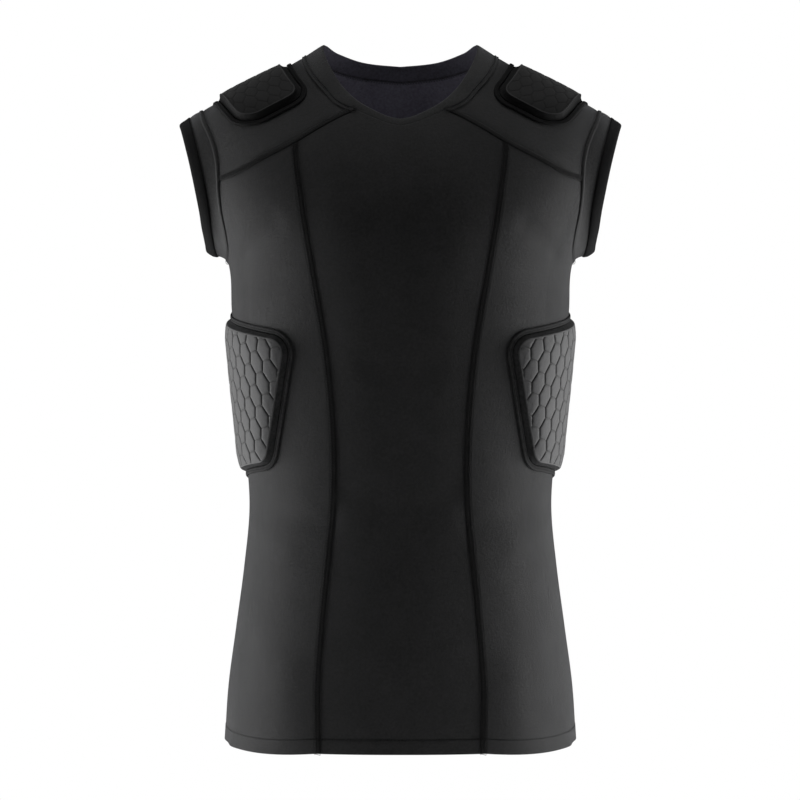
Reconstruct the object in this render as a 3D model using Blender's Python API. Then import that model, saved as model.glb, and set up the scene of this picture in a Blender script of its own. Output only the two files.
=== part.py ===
"""Padded compression shirt with cap sleeves, a V neck, rib pads and shoulder pads.

The shirt keeps the hollow form that it has when worn. The front faces -Y, +X is the
wearer's left, and the origin lies between the shoulders, level with the foot of the neck.
Sections of a general torso carry the cloth. Seams are curves on that form, each panel is
stretched between its seams, and the pads follow the form from points measured along it.
"""
import math

import bmesh
import bpy
import numpy as np

# Cloth and seams, metres
CLOTH = 0.0015
NECK_BAND_CLOTH = 0.0020
SEAM_GAP = 0.0003
HEM_HEIGHT = -0.665

# Torso sections from the hem up, one row for each height.
# Columns: height, half width, front depth, back depth, squareness
BODY = np.array([
    (-0.665, 0.1713, 0.108, 0.112, 2.50),
    (-0.615, 0.1680, 0.107, 0.111, 2.45),
    (-0.556, 0.1603, 0.105, 0.107, 2.40),
    (-0.498, 0.1526, 0.103, 0.099, 2.40),
    (-0.439, 0.1474, 0.102, 0.093, 2.40),
    (-0.375, 0.1523, 0.104, 0.093, 2.40),
    (-0.310, 0.1590, 0.109, 0.098, 2.40),
    (-0.250, 0.1645, 0.115, 0.106, 2.40),
    (-0.201, 0.1685, 0.119, 0.112, 2.40),
    (-0.180, 0.1770, 0.119, 0.114, 2.40),
    (-0.155, 0.1890, 0.116, 0.115, 2.38),
    (-0.125, 0.2000, 0.109, 0.113, 2.35),
    (-0.100, 0.2060, 0.100, 0.108, 2.30),
    (-0.080, 0.2070, 0.091, 0.102, 2.25),
    (-0.064, 0.2020, 0.083, 0.096, 2.20),
    (-0.054, 0.1930, 0.078, 0.091, 2.15),
    (-0.045, 0.1775, 0.073, 0.086, 2.10),
    (-0.030, 0.1490, 0.066, 0.078, 2.05),
    (-0.015, 0.1190, 0.059, 0.070, 2.00),
    (0.000, 0.0930, 0.052, 0.062, 2.00),
    (0.012, 0.0750, 0.047, 0.056, 2.00),
    (0.030, 0.0640, 0.043, 0.052, 2.00),
])

# The neck seam and the band's free edge, round one side of the neck.
# Columns: degrees from the front, seam height, free edge height
NECK = np.array([
    (0.0, -0.0791, -0.0722),
    (7.0, -0.0768, -0.0700),
    (16.0, -0.0712, -0.0640),
    (27.0, -0.0631, -0.0545),
    (38.0, -0.0542, -0.0410),
    (50.0, -0.0368, -0.0222),
    (63.0, -0.0185, -0.0045),
    (77.0, -0.0040, 0.0080),
    (95.0, 0.0020, 0.0125),
    (120.0, -0.0040, 0.0090),
    (145.0, -0.0105, 0.0035),
    (180.0, -0.0145, 0.0004),
])
NECK_FRONT_JOIN = 27.0
NECK_BACK_JOIN = 152.0

# Armhole seam from its top down the front, which the back mirrors.
# Columns: degrees from the front, height
ARMHOLE_UPPER = np.array([
    (90.0, -0.0530),
    (83.1, -0.0576),
    (75.5, -0.0775),
    (72.1, -0.0919),
    (69.4, -0.1125),
    (68.9, -0.1290),
])
ARMHOLE_LOWER = np.array([
    (68.9, -0.1290),
    (69.9, -0.1557),
    (71.5, -0.1760),
    (74.2, -0.1906),
    (78.5, -0.1990),
    (84.0, -0.2022),
    (90.0, -0.2030),
])

# Sleeve opening: a tall ring that leans out at the top
OPENING_CENTRE_HEIGHT = -0.1287
OPENING_HALF_HEIGHT = 0.0663
OPENING_FRONT_DEPTH = 0.057
OPENING_BACK_DEPTH = 0.061
# Columns: height, out from the centre
OPENING = np.array([
    (-0.1950, 0.1819),
    (-0.1770, 0.1833),
    (-0.1545, 0.1850),
    (-0.1297, 0.1889),
    (-0.1005, 0.1955),
    (-0.0770, 0.2025),
    (-0.0624, 0.2078),
])
SLEEVE_TOP_SWELL = 0.0015
SLEEVE_FOOT_SWELL = -0.0025
# Binding's cut across the opening. Columns: along the sleeve, out from its surface
BINDING_PROFILE = np.array([
    (0.0003, 0.0005),
    (0.0050, 0.0009),
    (0.0090, 0.0004),
    (0.0100, -0.0008),
    (0.0090, -0.0020),
    (0.0003, -0.0022),
])

# Long seams of the front and back, and the points that the yoke seams pass through.
# Columns: height, out from the centre
PRINCESS = np.array([
    (HEM_HEIGHT, 0.0770),
    (-0.598, 0.0776),
    (-0.540, 0.0734),
    (-0.476, 0.0672),
    (-0.412, 0.0625),
    (-0.350, 0.0643),
    (-0.281, 0.0714),
    (-0.230, 0.0800),
    (-0.167, 0.0906),
    (-0.138, 0.0946),
    (-0.0957, 0.0991),
])
FRONT_YOKE_INNER = np.array([(-0.0709, 0.0575), (-0.0800, 0.0735)])
FRONT_YOKE_OUTER = np.array([(-0.1114, 0.1301), (-0.1238, 0.1539)])
BACK_YOKE_INNER = np.array([(-0.0330, 0.0560), (-0.0650, 0.0790)])
BACK_YOKE_OUTER = np.array([(-0.1110, 0.1300), (-0.1230, 0.1520)])

# Facets along each run of seam
LENGTH_STEPS = 17
YOKE_INNER_STEPS = 4
YOKE_OUTER_STEPS = 4
NECK_FRONT_STEPS = 10
NECK_SIDE_STEPS = 16
NECK_BACK_STEPS = 10
ARMHOLE_LOWER_STEPS = 12

# Pads: a raised face of six-sided cells on a sloping foot, with a flat sewn border
PAD_CLEARANCE = 0.0007
PAD_CROWN_REACH = 0.016
BORDER_WIDTH = 0.005
BORDER_CLOTH = 0.0012
CELL_SIDE_SHARE = 0.51
CELL_RELIEF = 0.0011
CELL_BEVEL = 0.0012
CELL_SMALLEST_AREA = 2.5e-5
OUTLINE_STEP = 0.013
CORNER_STEPS = 5
SMALLEST_RADIUS = 0.003

# Corners of the rib pad. Columns: ahead of the side line, height, corner radius
RIB_PAD = np.array([
    (0.1270, -0.2740, 0.021),
    (-0.0780, -0.2360, 0.020),
    (-0.0560, -0.4185, 0.020),
    (0.0830, -0.4015, 0.024),
])
# Corners of the shoulder pad. Columns: out along the shoulder, forward, corner radius
SHOULDER_PAD = np.array([
    (0.0000, 0.0925, 0.024),
    (0.0000, -0.0700, 0.012),
    (0.0780, -0.0750, 0.026),
    (0.0862, 0.0000, 0.040),
    (0.0775, 0.0970, 0.028),
])
# Height of each pad's crown, height of its edge, width of its sloping side
RIB_PAD_HEIGHTS = (0.0090, 0.0070, 0.0045)
SHOULDER_PAD_HEIGHTS = (0.0060, 0.0052, 0.0035)
# Cells of each pad: pitch of the columns, pitch of the rows, slant of the rows
RIB_CELLS = (0.0160, 0.0195, -0.42)
SHOULDER_CELLS = (0.0125, 0.0140, 0.0)
SHOULDER_PAD_INNER = 0.1065
SHOULDER_PAD_BOW = 0.0200
SHOULDER_PAD_BOW_REACH = 0.080
SHOULDER_RUN = math.cos(math.radians(27))
SHOULDER_AXIS_HEIGHT = -0.160

# Colour and roughness of each finish
FINISHES = {
    "knit": ((0.014, 0.014, 0.015), 0.55),
    "binding": ((0.006, 0.006, 0.007), 0.60),
    "pad_face": ((0.060, 0.060, 0.062), 0.50),
    "pad_cover": ((0.014, 0.014, 0.015), 0.55),
    "pad_border": ((0.010, 0.010, 0.011), 0.50),
}


def smooth_row(table, at):
    """Values of a table's columns at a place, on smooth curves through its rows."""
    knots = table[:, 0]
    values = table[:, 1:]
    slopes = np.gradient(values, knots, axis=0)
    at = np.clip(np.asarray(at, float), knots[0], knots[-1])
    low = np.clip(np.searchsorted(knots, at) - 1, 0, len(knots) - 2)
    span = (knots[low + 1] - knots[low])[..., None]
    t = (at - knots[low])[..., None] / span
    start = (1 + 2 * t) * (1 - t) ** 2 * values[low] + t * (1 - t) ** 2 * span * slopes[low]
    end = t ** 2 * (3 - 2 * t) * values[low + 1] + t ** 2 * (t - 1) * span * slopes[low + 1]
    return start + end


def unit(vectors):
    return vectors / np.linalg.norm(vectors, axis=-1, keepdims=True)


def level(points):
    """Below zero inside the torso form, zero on it and above zero outside."""
    rows = smooth_row(BODY, points[..., 2])
    half_width = rows[..., 0]
    depth = np.where(points[..., 1] < 0, rows[..., 1], rows[..., 2])
    power = rows[..., 3]
    across = np.abs(points[..., 0] / half_width) ** power
    return (across + np.abs(points[..., 1] / depth) ** power) ** (1 / power) - 1


def outward(points, step=2e-5):
    """Unit normals of the torso form, found from its level on each side."""
    slopes = []
    for axis in np.eye(3):
        slopes.append(level(points + step * axis) - level(points - step * axis))
    return unit(np.stack(slopes, axis=-1))


def on_form(plan):
    """Points on the form from rows of (angle from the front, height)."""
    angle = plan[..., 0]
    height = plan[..., 1]
    rows = smooth_row(BODY, height)
    depth = np.where(np.cos(angle) > 0, rows[..., 1], rows[..., 2])
    power = rows[..., 3]
    spread = np.abs(np.sin(angle) / rows[..., 0]) ** power + np.abs(np.cos(angle) / depth) ** power
    radius = spread ** (-1 / power)
    return np.stack([radius * np.sin(angle), -radius * np.cos(angle), height], axis=-1)


def plan_at(out_from_centre, height, facing):
    """Plan rows of points a given way out from the centre, facing front -1 or back 1."""
    rows = smooth_row(BODY, height)
    depth = rows[..., 1] if facing < 0 else rows[..., 2]
    power = rows[..., 3]
    y = facing * depth * (1 - (out_from_centre / rows[..., 0]) ** power) ** (1 / power)
    return np.stack([np.arctan2(out_from_centre, -y), np.broadcast_to(height, y.shape)], axis=-1)


def resampled(plan, steps):
    """The same run on the form with its points evenly spaced."""
    points = on_form(plan)
    along = np.concatenate([[0], np.cumsum(np.linalg.norm(np.diff(points, axis=0), axis=1))])
    even = np.linspace(0, along[-1], steps + 1)
    return np.stack([np.interp(even, along, plan[:, k]) for k in range(2)], axis=-1)


def run_through(plan, steps):
    """A smooth run through plan rows, with its points evenly spaced."""
    points = on_form(plan)
    along = np.concatenate([[0], np.cumsum(np.linalg.norm(np.diff(points, axis=0), axis=1))])
    fine = smooth_row(np.column_stack([along, plan]), np.linspace(0, along[-1], 200))
    return resampled(fine, steps)


def neck_plan(from_degrees, to_degrees, steps, column):
    """A run of the neck seam (column 0) or of the band's free edge (column 1)."""
    degrees = np.linspace(from_degrees, to_degrees, steps + 1)
    folded = 180 - np.abs(180 - np.abs(degrees))
    return np.stack([np.radians(degrees), smooth_row(NECK, folded)[..., column]], axis=-1)


def reach_along(points_at, count, nearest=0.005, furthest=0.300):
    """Distances at which rays from inside meet the form, found by halving."""
    low = np.full(count, nearest)
    high = np.full(count, furthest)
    for _ in range(50):
        middle = (low + high) / 2
        inside = level(points_at(middle)) < 0
        low = np.where(inside, middle, low)
        high = np.where(inside, high, middle)
    return low


def armhole_run(quarter, steps):
    """A run of the armhole seam from the front, past the side line, to the back."""
    front = np.column_stack([np.radians(quarter[:, 0]), quarter[:, 1]])
    back = front[::-1] * np.array([-1, 1]) + np.array([math.pi, 0])
    return run_through(joined(front, back), steps)


def mirrored(plan):
    """The same run on the other side of the shirt."""
    return plan * np.array([-1, 1])


def seams():
    """Every seam of the wearer's left side as rows of (angle, height)."""
    front_centre = plan_at(PRINCESS[:, 1], PRINCESS[:, 0], -1)
    back_centre = plan_at(PRINCESS[:, 1], PRINCESS[:, 0], 1)
    armhole_lower = armhole_run(ARMHOLE_LOWER, ARMHOLE_LOWER_STEPS)
    armhole_upper = armhole_run(ARMHOLE_UPPER[::-1], NECK_SIDE_STEPS)
    neck_side = neck_plan(NECK_FRONT_JOIN, NECK_BACK_JOIN, NECK_SIDE_STEPS, 0)

    def yoke(inner, outer, facing, neck_end, centre_top, armhole_end):
        inner_rows = plan_at(inner[:, 1], inner[:, 0], facing)
        outer_rows = plan_at(outer[:, 1], outer[:, 0], facing)
        whole = np.vstack([neck_end, inner_rows, centre_top, outer_rows, armhole_end])
        points = on_form(whole)
        along = np.concatenate([[0], np.cumsum(np.linalg.norm(np.diff(points, axis=0), axis=1))])
        table = np.column_stack([along, whole])
        split = along[len(inner_rows) + 1]
        near = smooth_row(table, np.linspace(0, split, 100))
        far = smooth_row(table, np.linspace(split, along[-1], 100))
        return resampled(near, YOKE_INNER_STEPS), resampled(far, YOKE_OUTER_STEPS)

    front_in, front_out = yoke(FRONT_YOKE_INNER, FRONT_YOKE_OUTER, -1,
                               neck_side[:1], front_centre[-1:], armhole_lower[:1])
    back_in, back_out = yoke(BACK_YOKE_INNER, BACK_YOKE_OUTER, 1,
                             neck_side[-1:], back_centre[-1:], armhole_lower[-1:])
    return {
        "front_princess": run_through(front_centre, LENGTH_STEPS),
        "back_princess": run_through(back_centre, LENGTH_STEPS),
        "front_yoke_in": front_in,
        "front_yoke_out": front_out,
        "back_yoke_in": back_in,
        "back_yoke_out": back_out,
        "armhole_lower": armhole_lower,
        "armhole_upper": armhole_upper,
        "neck_side": neck_side,
        "neck_front": neck_plan(-NECK_FRONT_JOIN, NECK_FRONT_JOIN, NECK_FRONT_STEPS, 0),
        "neck_back": neck_plan(NECK_BACK_JOIN, 360 - NECK_BACK_JOIN, NECK_BACK_STEPS, 0),
    }


def hem_run(from_angle, to_angle, steps):
    """A run along the straight hem, evenly spaced."""
    angles = np.linspace(from_angle, to_angle, 300)
    return resampled(np.stack([angles, np.full(300, HEM_HEIGHT)], axis=-1), steps)


def joined(*runs):
    """Runs set end to end, each shared end kept once."""
    return np.vstack([runs[0]] + [run[1:] for run in runs[1:]])


def stretched(bottom, top, left, right):
    """Plan grid between four edges that share their corners."""
    u = np.linspace(0, 1, len(bottom))[None, :, None]
    v = np.linspace(0, 1, len(left))[:, None, None]
    rows = (1 - v) * bottom[None] + v * top[None]
    columns = (1 - u) * left[:, None] + u * right[:, None]
    low = (1 - u) * bottom[0] + u * bottom[-1]
    high = (1 - u) * top[0] + u * top[-1]
    return rows + columns - (1 - v) * low - v * high


def pulled_in(points, normals, distance):
    """A grid whose edges are drawn back from their seams."""
    moved = points.copy()

    def edge(line, normal, inner):
        run = unit(np.gradient(line, axis=0))
        inward = unit(np.cross(normal, run))
        side = np.sign(np.sum(inward * (inner - line), axis=-1, keepdims=True))
        return inward * side * distance

    moved[0] += edge(points[0], normals[0], points[1])
    moved[-1] += edge(points[-1], normals[-1], points[-2])
    moved[:, 0] += edge(points[:, 0], normals[:, 0], points[:, 1])
    moved[:, -1] += edge(points[:, -1], normals[:, -1], points[:, -2])
    return moved


def finish(finish_name):
    """The Principled material of a finish."""
    material = bpy.data.materials.get(finish_name)
    if material is None:
        colour, roughness = FINISHES[finish_name]
        material = bpy.data.materials.new(finish_name)
        material.use_nodes = True
        shader = material.node_tree.nodes["Principled BSDF"]
        shader.inputs["Base Color"].default_value = (*colour, 1)
        shader.inputs["Roughness"].default_value = roughness
        shader.inputs["Metallic"].default_value = 0
    return material


def signed_volume(points, triangles):
    a, b, c = (points[triangles[:, k]] for k in range(3))
    return np.sum(a * np.cross(b, c)) / 6


def add_solid(name, points, triangles, finish_name):
    """A named object from points and triangles, turned so that its faces point out."""
    points = np.asarray(points)
    triangles = np.asarray(triangles)
    if signed_volume(points - points.mean(axis=0), triangles) < 0:
        triangles = triangles[:, ::-1]
    mesh = bpy.data.meshes.new(name)
    mesh.from_pydata(points.tolist(), [], triangles.tolist())
    mesh.materials.append(finish(finish_name))
    mesh.shade_smooth()
    mesh.set_sharp_from_angle(angle=math.radians(35))
    solid = bpy.data.objects.new(name, mesh)
    bpy.context.collection.objects.link(solid)
    return solid


def quads(a, b, c, d):
    """Two triangles for each four-sided facet."""
    a, b, c, d = (np.ravel(corner) for corner in (a, b, c, d))
    return np.vstack([np.column_stack([a, b, c]), np.column_stack([a, c, d])])


def add_panel(name, plan, thickness=CLOTH):
    """A cloth panel: an outer wall on the form, an inner one and the cut edges."""
    surface = on_form(plan)
    normals = outward(surface)
    outer = pulled_in(surface, normals, SEAM_GAP / 2)
    inner = outer - thickness * normals
    rows, columns = plan.shape[:2]
    front = np.arange(rows * columns).reshape(rows, columns)
    back = front + rows * columns
    faces = [
        quads(front[:-1, :-1], front[:-1, 1:], front[1:, 1:], front[1:, :-1]),
        quads(back[:-1, :-1], back[1:, :-1], back[1:, 1:], back[:-1, 1:]),
    ]
    loop = np.concatenate([front[0, :-1], front[:-1, -1], front[-1, :0:-1], front[:0:-1, 0]])
    after = np.roll(loop, -1)
    faces.append(quads(loop, loop + rows * columns, after + rows * columns, after))
    points = np.vstack([outer.reshape(-1, 3), inner.reshape(-1, 3)])
    return add_solid(name, points, np.vstack(faces), "knit")


def add_ring(name, rings, finish_name):
    """A closed band from rings of points, one ring for each point of its profile."""
    profile, around = rings.shape[:2]
    index = np.arange(profile * around).reshape(profile, around)
    beside = np.roll(index, -1, axis=0)
    faces = quads(index, np.roll(index, -1, axis=1), np.roll(beside, -1, axis=1), beside)
    return add_solid(name, rings.reshape(-1, 3), faces, finish_name)


def reflected(points):
    return points * np.array([-1, 1, 1])


def body_panels(seam):
    """Front, back, side panels and shoulder yokes."""
    left_front = mirrored(seam["front_princess"])
    front_top = joined(mirrored(seam["front_yoke_in"])[::-1], seam["neck_front"],
                       seam["front_yoke_in"])
    start, end = left_front[0, 0], seam["front_princess"][0, 0]
    front_hem = hem_run(start, end, len(front_top) - 1)
    add_panel("front_panel", stretched(front_hem, front_top, left_front, seam["front_princess"]))

    far_back = seam["back_princess"] * np.array([-1, 1]) + np.array([2 * math.pi, 0])
    far_yoke = seam["back_yoke_in"] * np.array([-1, 1]) + np.array([2 * math.pi, 0])
    back_top = joined(seam["back_yoke_in"][::-1], seam["neck_back"], far_yoke)
    back_hem = hem_run(seam["back_princess"][0, 0], far_back[0, 0], len(back_top) - 1)
    add_panel("back_panel", stretched(back_hem, back_top, seam["back_princess"], far_back))

    side_top = joined(seam["front_yoke_out"], seam["armhole_lower"], seam["back_yoke_out"][::-1])
    side_hem = hem_run(seam["front_princess"][0, 0], seam["back_princess"][0, 0],
                       len(side_top) - 1)
    side = stretched(side_hem, side_top, seam["front_princess"], seam["back_princess"])
    front_edge = joined(seam["front_yoke_in"], seam["front_yoke_out"])
    back_edge = joined(seam["back_yoke_in"], seam["back_yoke_out"])
    yoke = stretched(front_edge, back_edge, seam["neck_side"], seam["armhole_upper"])
    for side_name, turn in (("left", 1), ("right", -1)):
        add_panel("side_panel_" + side_name, side * np.array([turn, 1]))
        add_panel("shoulder_yoke_" + side_name, yoke * np.array([turn, 1]))


def neck_band(seam):
    """The band round the neck, from its seam up to its free edge."""
    side_edge = neck_plan(NECK_FRONT_JOIN, NECK_BACK_JOIN, NECK_SIDE_STEPS, 1)
    front_edge = neck_plan(-NECK_FRONT_JOIN, NECK_FRONT_JOIN, NECK_FRONT_STEPS, 1)
    back_edge = neck_plan(NECK_BACK_JOIN, 360 - NECK_BACK_JOIN, NECK_BACK_STEPS, 1)

    def whole(front, side, back):
        far_side = side[::-1] * np.array([-1, 1]) + np.array([2 * math.pi, 0])
        return joined(front, side, back, far_side)[:-1]

    low = whole(seam["neck_front"], seam["neck_side"], seam["neck_back"])
    high = whole(front_edge, side_edge, back_edge)
    rings = []
    for share in (0.0, 0.5, 1.0):
        surface = on_form((1 - share) * low + share * high)
        rings.append((surface, outward(surface)))
    up = unit(rings[1][0] - rings[0][0])
    rings[0] = (rings[0][0] + up * SEAM_GAP / 2, rings[0][1])
    outer = [surface for surface, _ in rings]
    inner = [surface - NECK_BAND_CLOTH * normal for surface, normal in rings[::-1]]
    rim = (outer[-1] + inner[0]) / 2 + up * NECK_BAND_CLOTH * 0.35
    add_ring("neck_band", np.stack(outer + [rim] + inner), "knit")


def sleeve_frame(seam):
    """Armhole ring, opening ring, and the sleeve's way out and its normals there."""
    start = on_form(joined(seam["armhole_upper"][::-1], seam["armhole_lower"])[:-1])
    angle = np.arctan2(-start[:, 1], start[:, 2] - OPENING_CENTRE_HEIGHT)
    depth = np.where(np.sin(angle) > 0, OPENING_FRONT_DEPTH, OPENING_BACK_DEPTH)
    height = OPENING_CENTRE_HEIGHT + OPENING_HALF_HEIGHT * np.cos(angle)
    out = smooth_row(OPENING, height)[..., 0]
    end = np.stack([out, -depth * np.sin(angle), height], axis=-1)
    way = unit(end - start)
    around = unit(np.roll(end, -1, axis=0) - np.roll(end, 1, axis=0))
    normal = unit(np.cross(around, way))
    middle = end.mean(axis=0)
    normal *= np.sign(np.sum(normal * (end - middle), axis=-1, keepdims=True))
    return start, end, way, normal


def sleeves(seam):
    """Short cap sleeves and the narrow bindings on their openings."""
    start, end, way, normal = sleeve_frame(seam)
    downward = (OPENING_CENTRE_HEIGHT + OPENING_HALF_HEIGHT - end[:, 2]) / (2 * OPENING_HALF_HEIGHT)
    swell = SLEEVE_TOP_SWELL + (SLEEVE_FOOT_SWELL - SLEEVE_TOP_SWELL) * downward
    outer = []
    for share in (0.0, 0.5, 1.0):
        bow = 4 * share * (1 - share) * swell[:, None]
        outer.append((1 - share) * start + share * end + bow * normal)
    outer[0] = outer[0] + way * SEAM_GAP / 2
    inner = [ring - CLOTH * normal for ring in outer[::-1]]
    sleeve = np.stack(outer + inner)
    binding = np.stack([end + way * along + normal * out for along, out in BINDING_PROFILE])
    for side_name, place in (("left", np.copy), ("right", reflected)):
        add_ring("sleeve_" + side_name, place(sleeve), "knit")
        add_ring("sleeve_binding_" + side_name, place(binding), "binding")


def rounded_outline(corners, inset):
    """Outline with rounded corners, drawn in by an inset; its points keep their count."""
    count = len(corners)
    full = []
    drawn_in = []
    for i in range(count):
        here = corners[i, :2]
        before = unit(here - corners[i - 1, :2])
        after = unit(corners[(i + 1) % count, :2] - here)
        turn = math.atan2(before[0] * after[1] - before[1] * after[0], before @ after)
        bisector = unit(after - before) / math.cos(turn / 2)
        first = math.atan2(-before[0], before[1])
        angles = first + turn * np.linspace(0, 1, CORNER_STEPS + 1)
        round_corner = np.column_stack([np.cos(angles), np.sin(angles)])
        radius = corners[i, 2]
        full.append(here + bisector * radius + radius * round_corner)
        radius = max(radius - inset, SMALLEST_RADIUS)
        drawn_in.append(here + bisector * (inset + radius) + radius * round_corner)
    points = []
    for i in range(count):
        points.extend(drawn_in[i])
        leave = drawn_in[i][-1]
        arrive = drawn_in[(i + 1) % count][0]
        straight = np.linalg.norm(full[(i + 1) % count][0] - full[i][-1])
        steps = max(1, round(straight / OUTLINE_STEP))
        for step in range(1, steps):
            points.append(leave + (arrive - leave) * step / steps)
    return np.array(points)


def depth_inside(points, outline):
    """How far points lie inside a convex outline."""
    run = unit(np.roll(outline, -1, axis=0) - outline)
    normal = np.stack([-run[:, 1], run[:, 0]], axis=-1)
    return np.min(np.einsum("pij,ij->pi", points[:, None] - outline[None], normal), axis=1)


def cell_net(outline, pitch, row_pitch, slant):
    """Flat net of six-sided cells, cut to an outline."""
    net = bmesh.new()
    corners = {}

    def corner(column, row, side):
        key = (column, row, side)
        if key not in corners:
            x = column * pitch / 2
            y = row_pitch * (row + side * CELL_SIDE_SHARE / 2) + slant * x
            corners[key] = net.verts.new((middle[0] + x, middle[1] + y, 0))
        return corners[key]

    middle = outline.mean(axis=0)
    reach = np.abs(outline - middle).max(axis=0)
    columns = math.ceil(reach[0] / pitch) + 2
    rows = math.ceil((reach[1] + abs(slant) * reach[0]) / row_pitch) + 2
    for row in range(-rows, rows + 1):
        for step in range(-columns, columns + 1):
            column = 2 * step + row % 2
            net.faces.new([
                corner(column, row - 1, 1),
                corner(column + 1, row, -1),
                corner(column + 1, row, 1),
                corner(column, row + 1, -1),
                corner(column - 1, row, 1),
                corner(column - 1, row, -1),
            ])
    for start, end in zip(outline, np.roll(outline, -1, axis=0)):
        run = end - start
        everything = net.verts[:] + net.edges[:] + net.faces[:]
        bmesh.ops.bisect_plane(net, geom=everything, plane_co=(*start, 0),
                               plane_no=(run[1], -run[0], 0), clear_outer=True)
    bmesh.ops.remove_doubles(net, verts=net.verts[:], dist=0.0022)
    loose = [vert for vert in net.verts if not vert.link_faces]
    bmesh.ops.delete(net, geom=loose, context="VERTS")
    net.verts.index_update()
    flat = np.array([vert.co[:2] for vert in net.verts])
    cells = [[vert.index for vert in face.verts] for face in net.faces]
    rim = {}
    for edge in net.edges:
        if len(edge.link_loops) == 1:
            loop = edge.link_loops[0]
            rim[loop.vert.index] = loop.link_loop_next.vert.index
    net.free()
    start = next(iter(rim))
    ring = [start]
    while rim[ring[-1]] != start:
        ring.append(rim[ring[-1]])
    return flat, cells, ring


def add_pad(name, corners, heights, cell_sizes, place, finish_name):
    """A moulded pad: raised cells over a sloping foot that follows the panel below."""
    crown_height, edge_height, slope_width = heights
    face_outline = rounded_outline(corners, BORDER_WIDTH + slope_width)
    foot_outline = rounded_outline(corners, BORDER_WIDTH)
    flat, cells, ring = cell_net(face_outline, *cell_sizes)
    inside = np.clip(depth_inside(flat, face_outline) / PAD_CROWN_REACH, 0, 1)
    crown = edge_height + (crown_height - edge_height) * (1 - (1 - inside) ** 2)
    count = len(flat)
    plan = [np.column_stack([flat, crown - CELL_RELIEF])]
    plan.append(np.column_stack([flat, np.full(count, PAD_CLEARANCE)]))
    total = 2 * count
    faces = []
    for cell in cells:
        edge = flat[cell]
        centre = edge.mean(axis=0)
        after = np.roll(edge, -1, axis=0)
        swept = (edge - centre)[:, 0] * (after - centre)[:, 1]
        area = np.sum(swept - (edge - centre)[:, 1] * (after - centre)[:, 0]) / 2
        shrink = 1 - 2 * CELL_BEVEL / math.sqrt(abs(area))
        here = np.array(cell)
        beyond = np.roll(here, -1)
        size = len(cell)
        if abs(area) > CELL_SMALLEST_AREA:
            raised = np.arange(total, total + size)
            plan.append(np.column_stack([centre + shrink * (edge - centre), crown[cell]]))
            total += size
            faces.append(quads(here, beyond, np.roll(raised, -1), raised))
        else:
            raised = here
        fan = np.column_stack([np.full(size - 2, raised[0]), raised[1:-1], raised[2:]])
        faces.append(fan)
        plan.append(np.array([[*centre, PAD_CLEARANCE]]))
        faces.append(np.column_stack([beyond + count, here + count, np.full(size, total)]))
        total += 1
    around = flat[ring]
    run = unit(np.roll(around, -1, axis=0) - np.roll(around, 1, axis=0))
    away = np.stack([run[:, 1], -run[:, 0]], axis=-1)
    room = depth_inside(around, foot_outline)[:, None]
    plan.append(np.column_stack([around + away * room, np.full(len(ring), PAD_CLEARANCE)]))
    foot = np.arange(total, total + len(ring))
    top = np.array(ring)
    faces.append(quads(top, foot, np.roll(foot, -1), np.roll(top, -1)))
    faces.append(quads(foot, top + count, np.roll(top, -1) + count, np.roll(foot, -1)))
    return add_solid(name, place(np.vstack(plan)), np.vstack(faces), finish_name)


def add_border(name, corners, place):
    """The flat sewn border round a pad."""
    outer = rounded_outline(corners, 0)
    inner = rounded_outline(corners, BORDER_WIDTH - SEAM_GAP)
    low = np.full(len(outer), PAD_CLEARANCE)
    high = low + BORDER_CLOTH
    rings = [
        np.column_stack([outer, low]),
        np.column_stack([outer, high]),
        np.column_stack([inner, high]),
        np.column_stack([inner, low]),
    ]
    return add_ring(name, np.stack([place(ring) for ring in rings]), "pad_border")


def rib_place(plan):
    """Points over the side of the torso from (ahead of the side line, height, lift)."""
    placed = []
    for ahead, height, lift in plan:
        facing = -1 if ahead > 0 else 1
        angles = np.linspace(math.pi / 2, math.pi / 2 + facing * 1.5, 160)
        track = on_form(np.stack([angles, np.full(160, height)], axis=-1))
        along = np.concatenate([[0], np.cumsum(np.linalg.norm(np.diff(track, axis=0), axis=1))])
        angle = np.interp(abs(ahead), along, angles)
        point = on_form(np.array([angle, height]))
        placed.append(point + lift * outward(point))
    return np.array(placed)


def shoulder_place(plan):
    """Points over the shoulder from (out along it, forward over it, lift)."""
    placed = []
    for across, forward, lift in plan:
        bow = SHOULDER_PAD_BOW * (forward / SHOULDER_PAD_BOW_REACH) ** 2
        out = SHOULDER_PAD_INNER + across * SHOULDER_RUN - bow
        angles = np.linspace(0, math.copysign(1.6, forward), 120)

        def along_ray(radius):
            y = -radius * np.sin(angles)
            z = SHOULDER_AXIS_HEIGHT + radius * np.cos(angles)
            return np.stack([np.full(120, out), y, z], axis=-1)

        track = along_ray(reach_along(along_ray, 120))
        along = np.concatenate([[0], np.cumsum(np.linalg.norm(np.diff(track, axis=0), axis=1))])
        point = np.array([np.interp(abs(forward), along, track[:, k]) for k in range(3)])
        placed.append(point + lift * outward(point))
    return np.array(placed)


def pads():
    """Rib pads and shoulder pads with their borders, on both sides."""
    for kind, corners, heights, cell_sizes, place, finish_name in (
        ("rib_pad", RIB_PAD, RIB_PAD_HEIGHTS, RIB_CELLS, rib_place, "pad_face"),
        ("shoulder_pad", SHOULDER_PAD, SHOULDER_PAD_HEIGHTS, SHOULDER_CELLS, shoulder_place,
         "pad_cover"),
    ):
        for side_name, turn in (("left", np.copy), ("right", reflected)):
            def settle(plan):
                return turn(place(plan))

            add_pad(kind + "_" + side_name, corners, heights, cell_sizes, settle, finish_name)
            add_border(kind + "_border_" + side_name, corners, settle)


def main():
    for old in list(bpy.data.objects):
        bpy.data.objects.remove(old, do_unlink=True)
    seam = seams()
    body_panels(seam)
    neck_band(seam)
    sleeves(seam)
    pads()


main()
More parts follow.
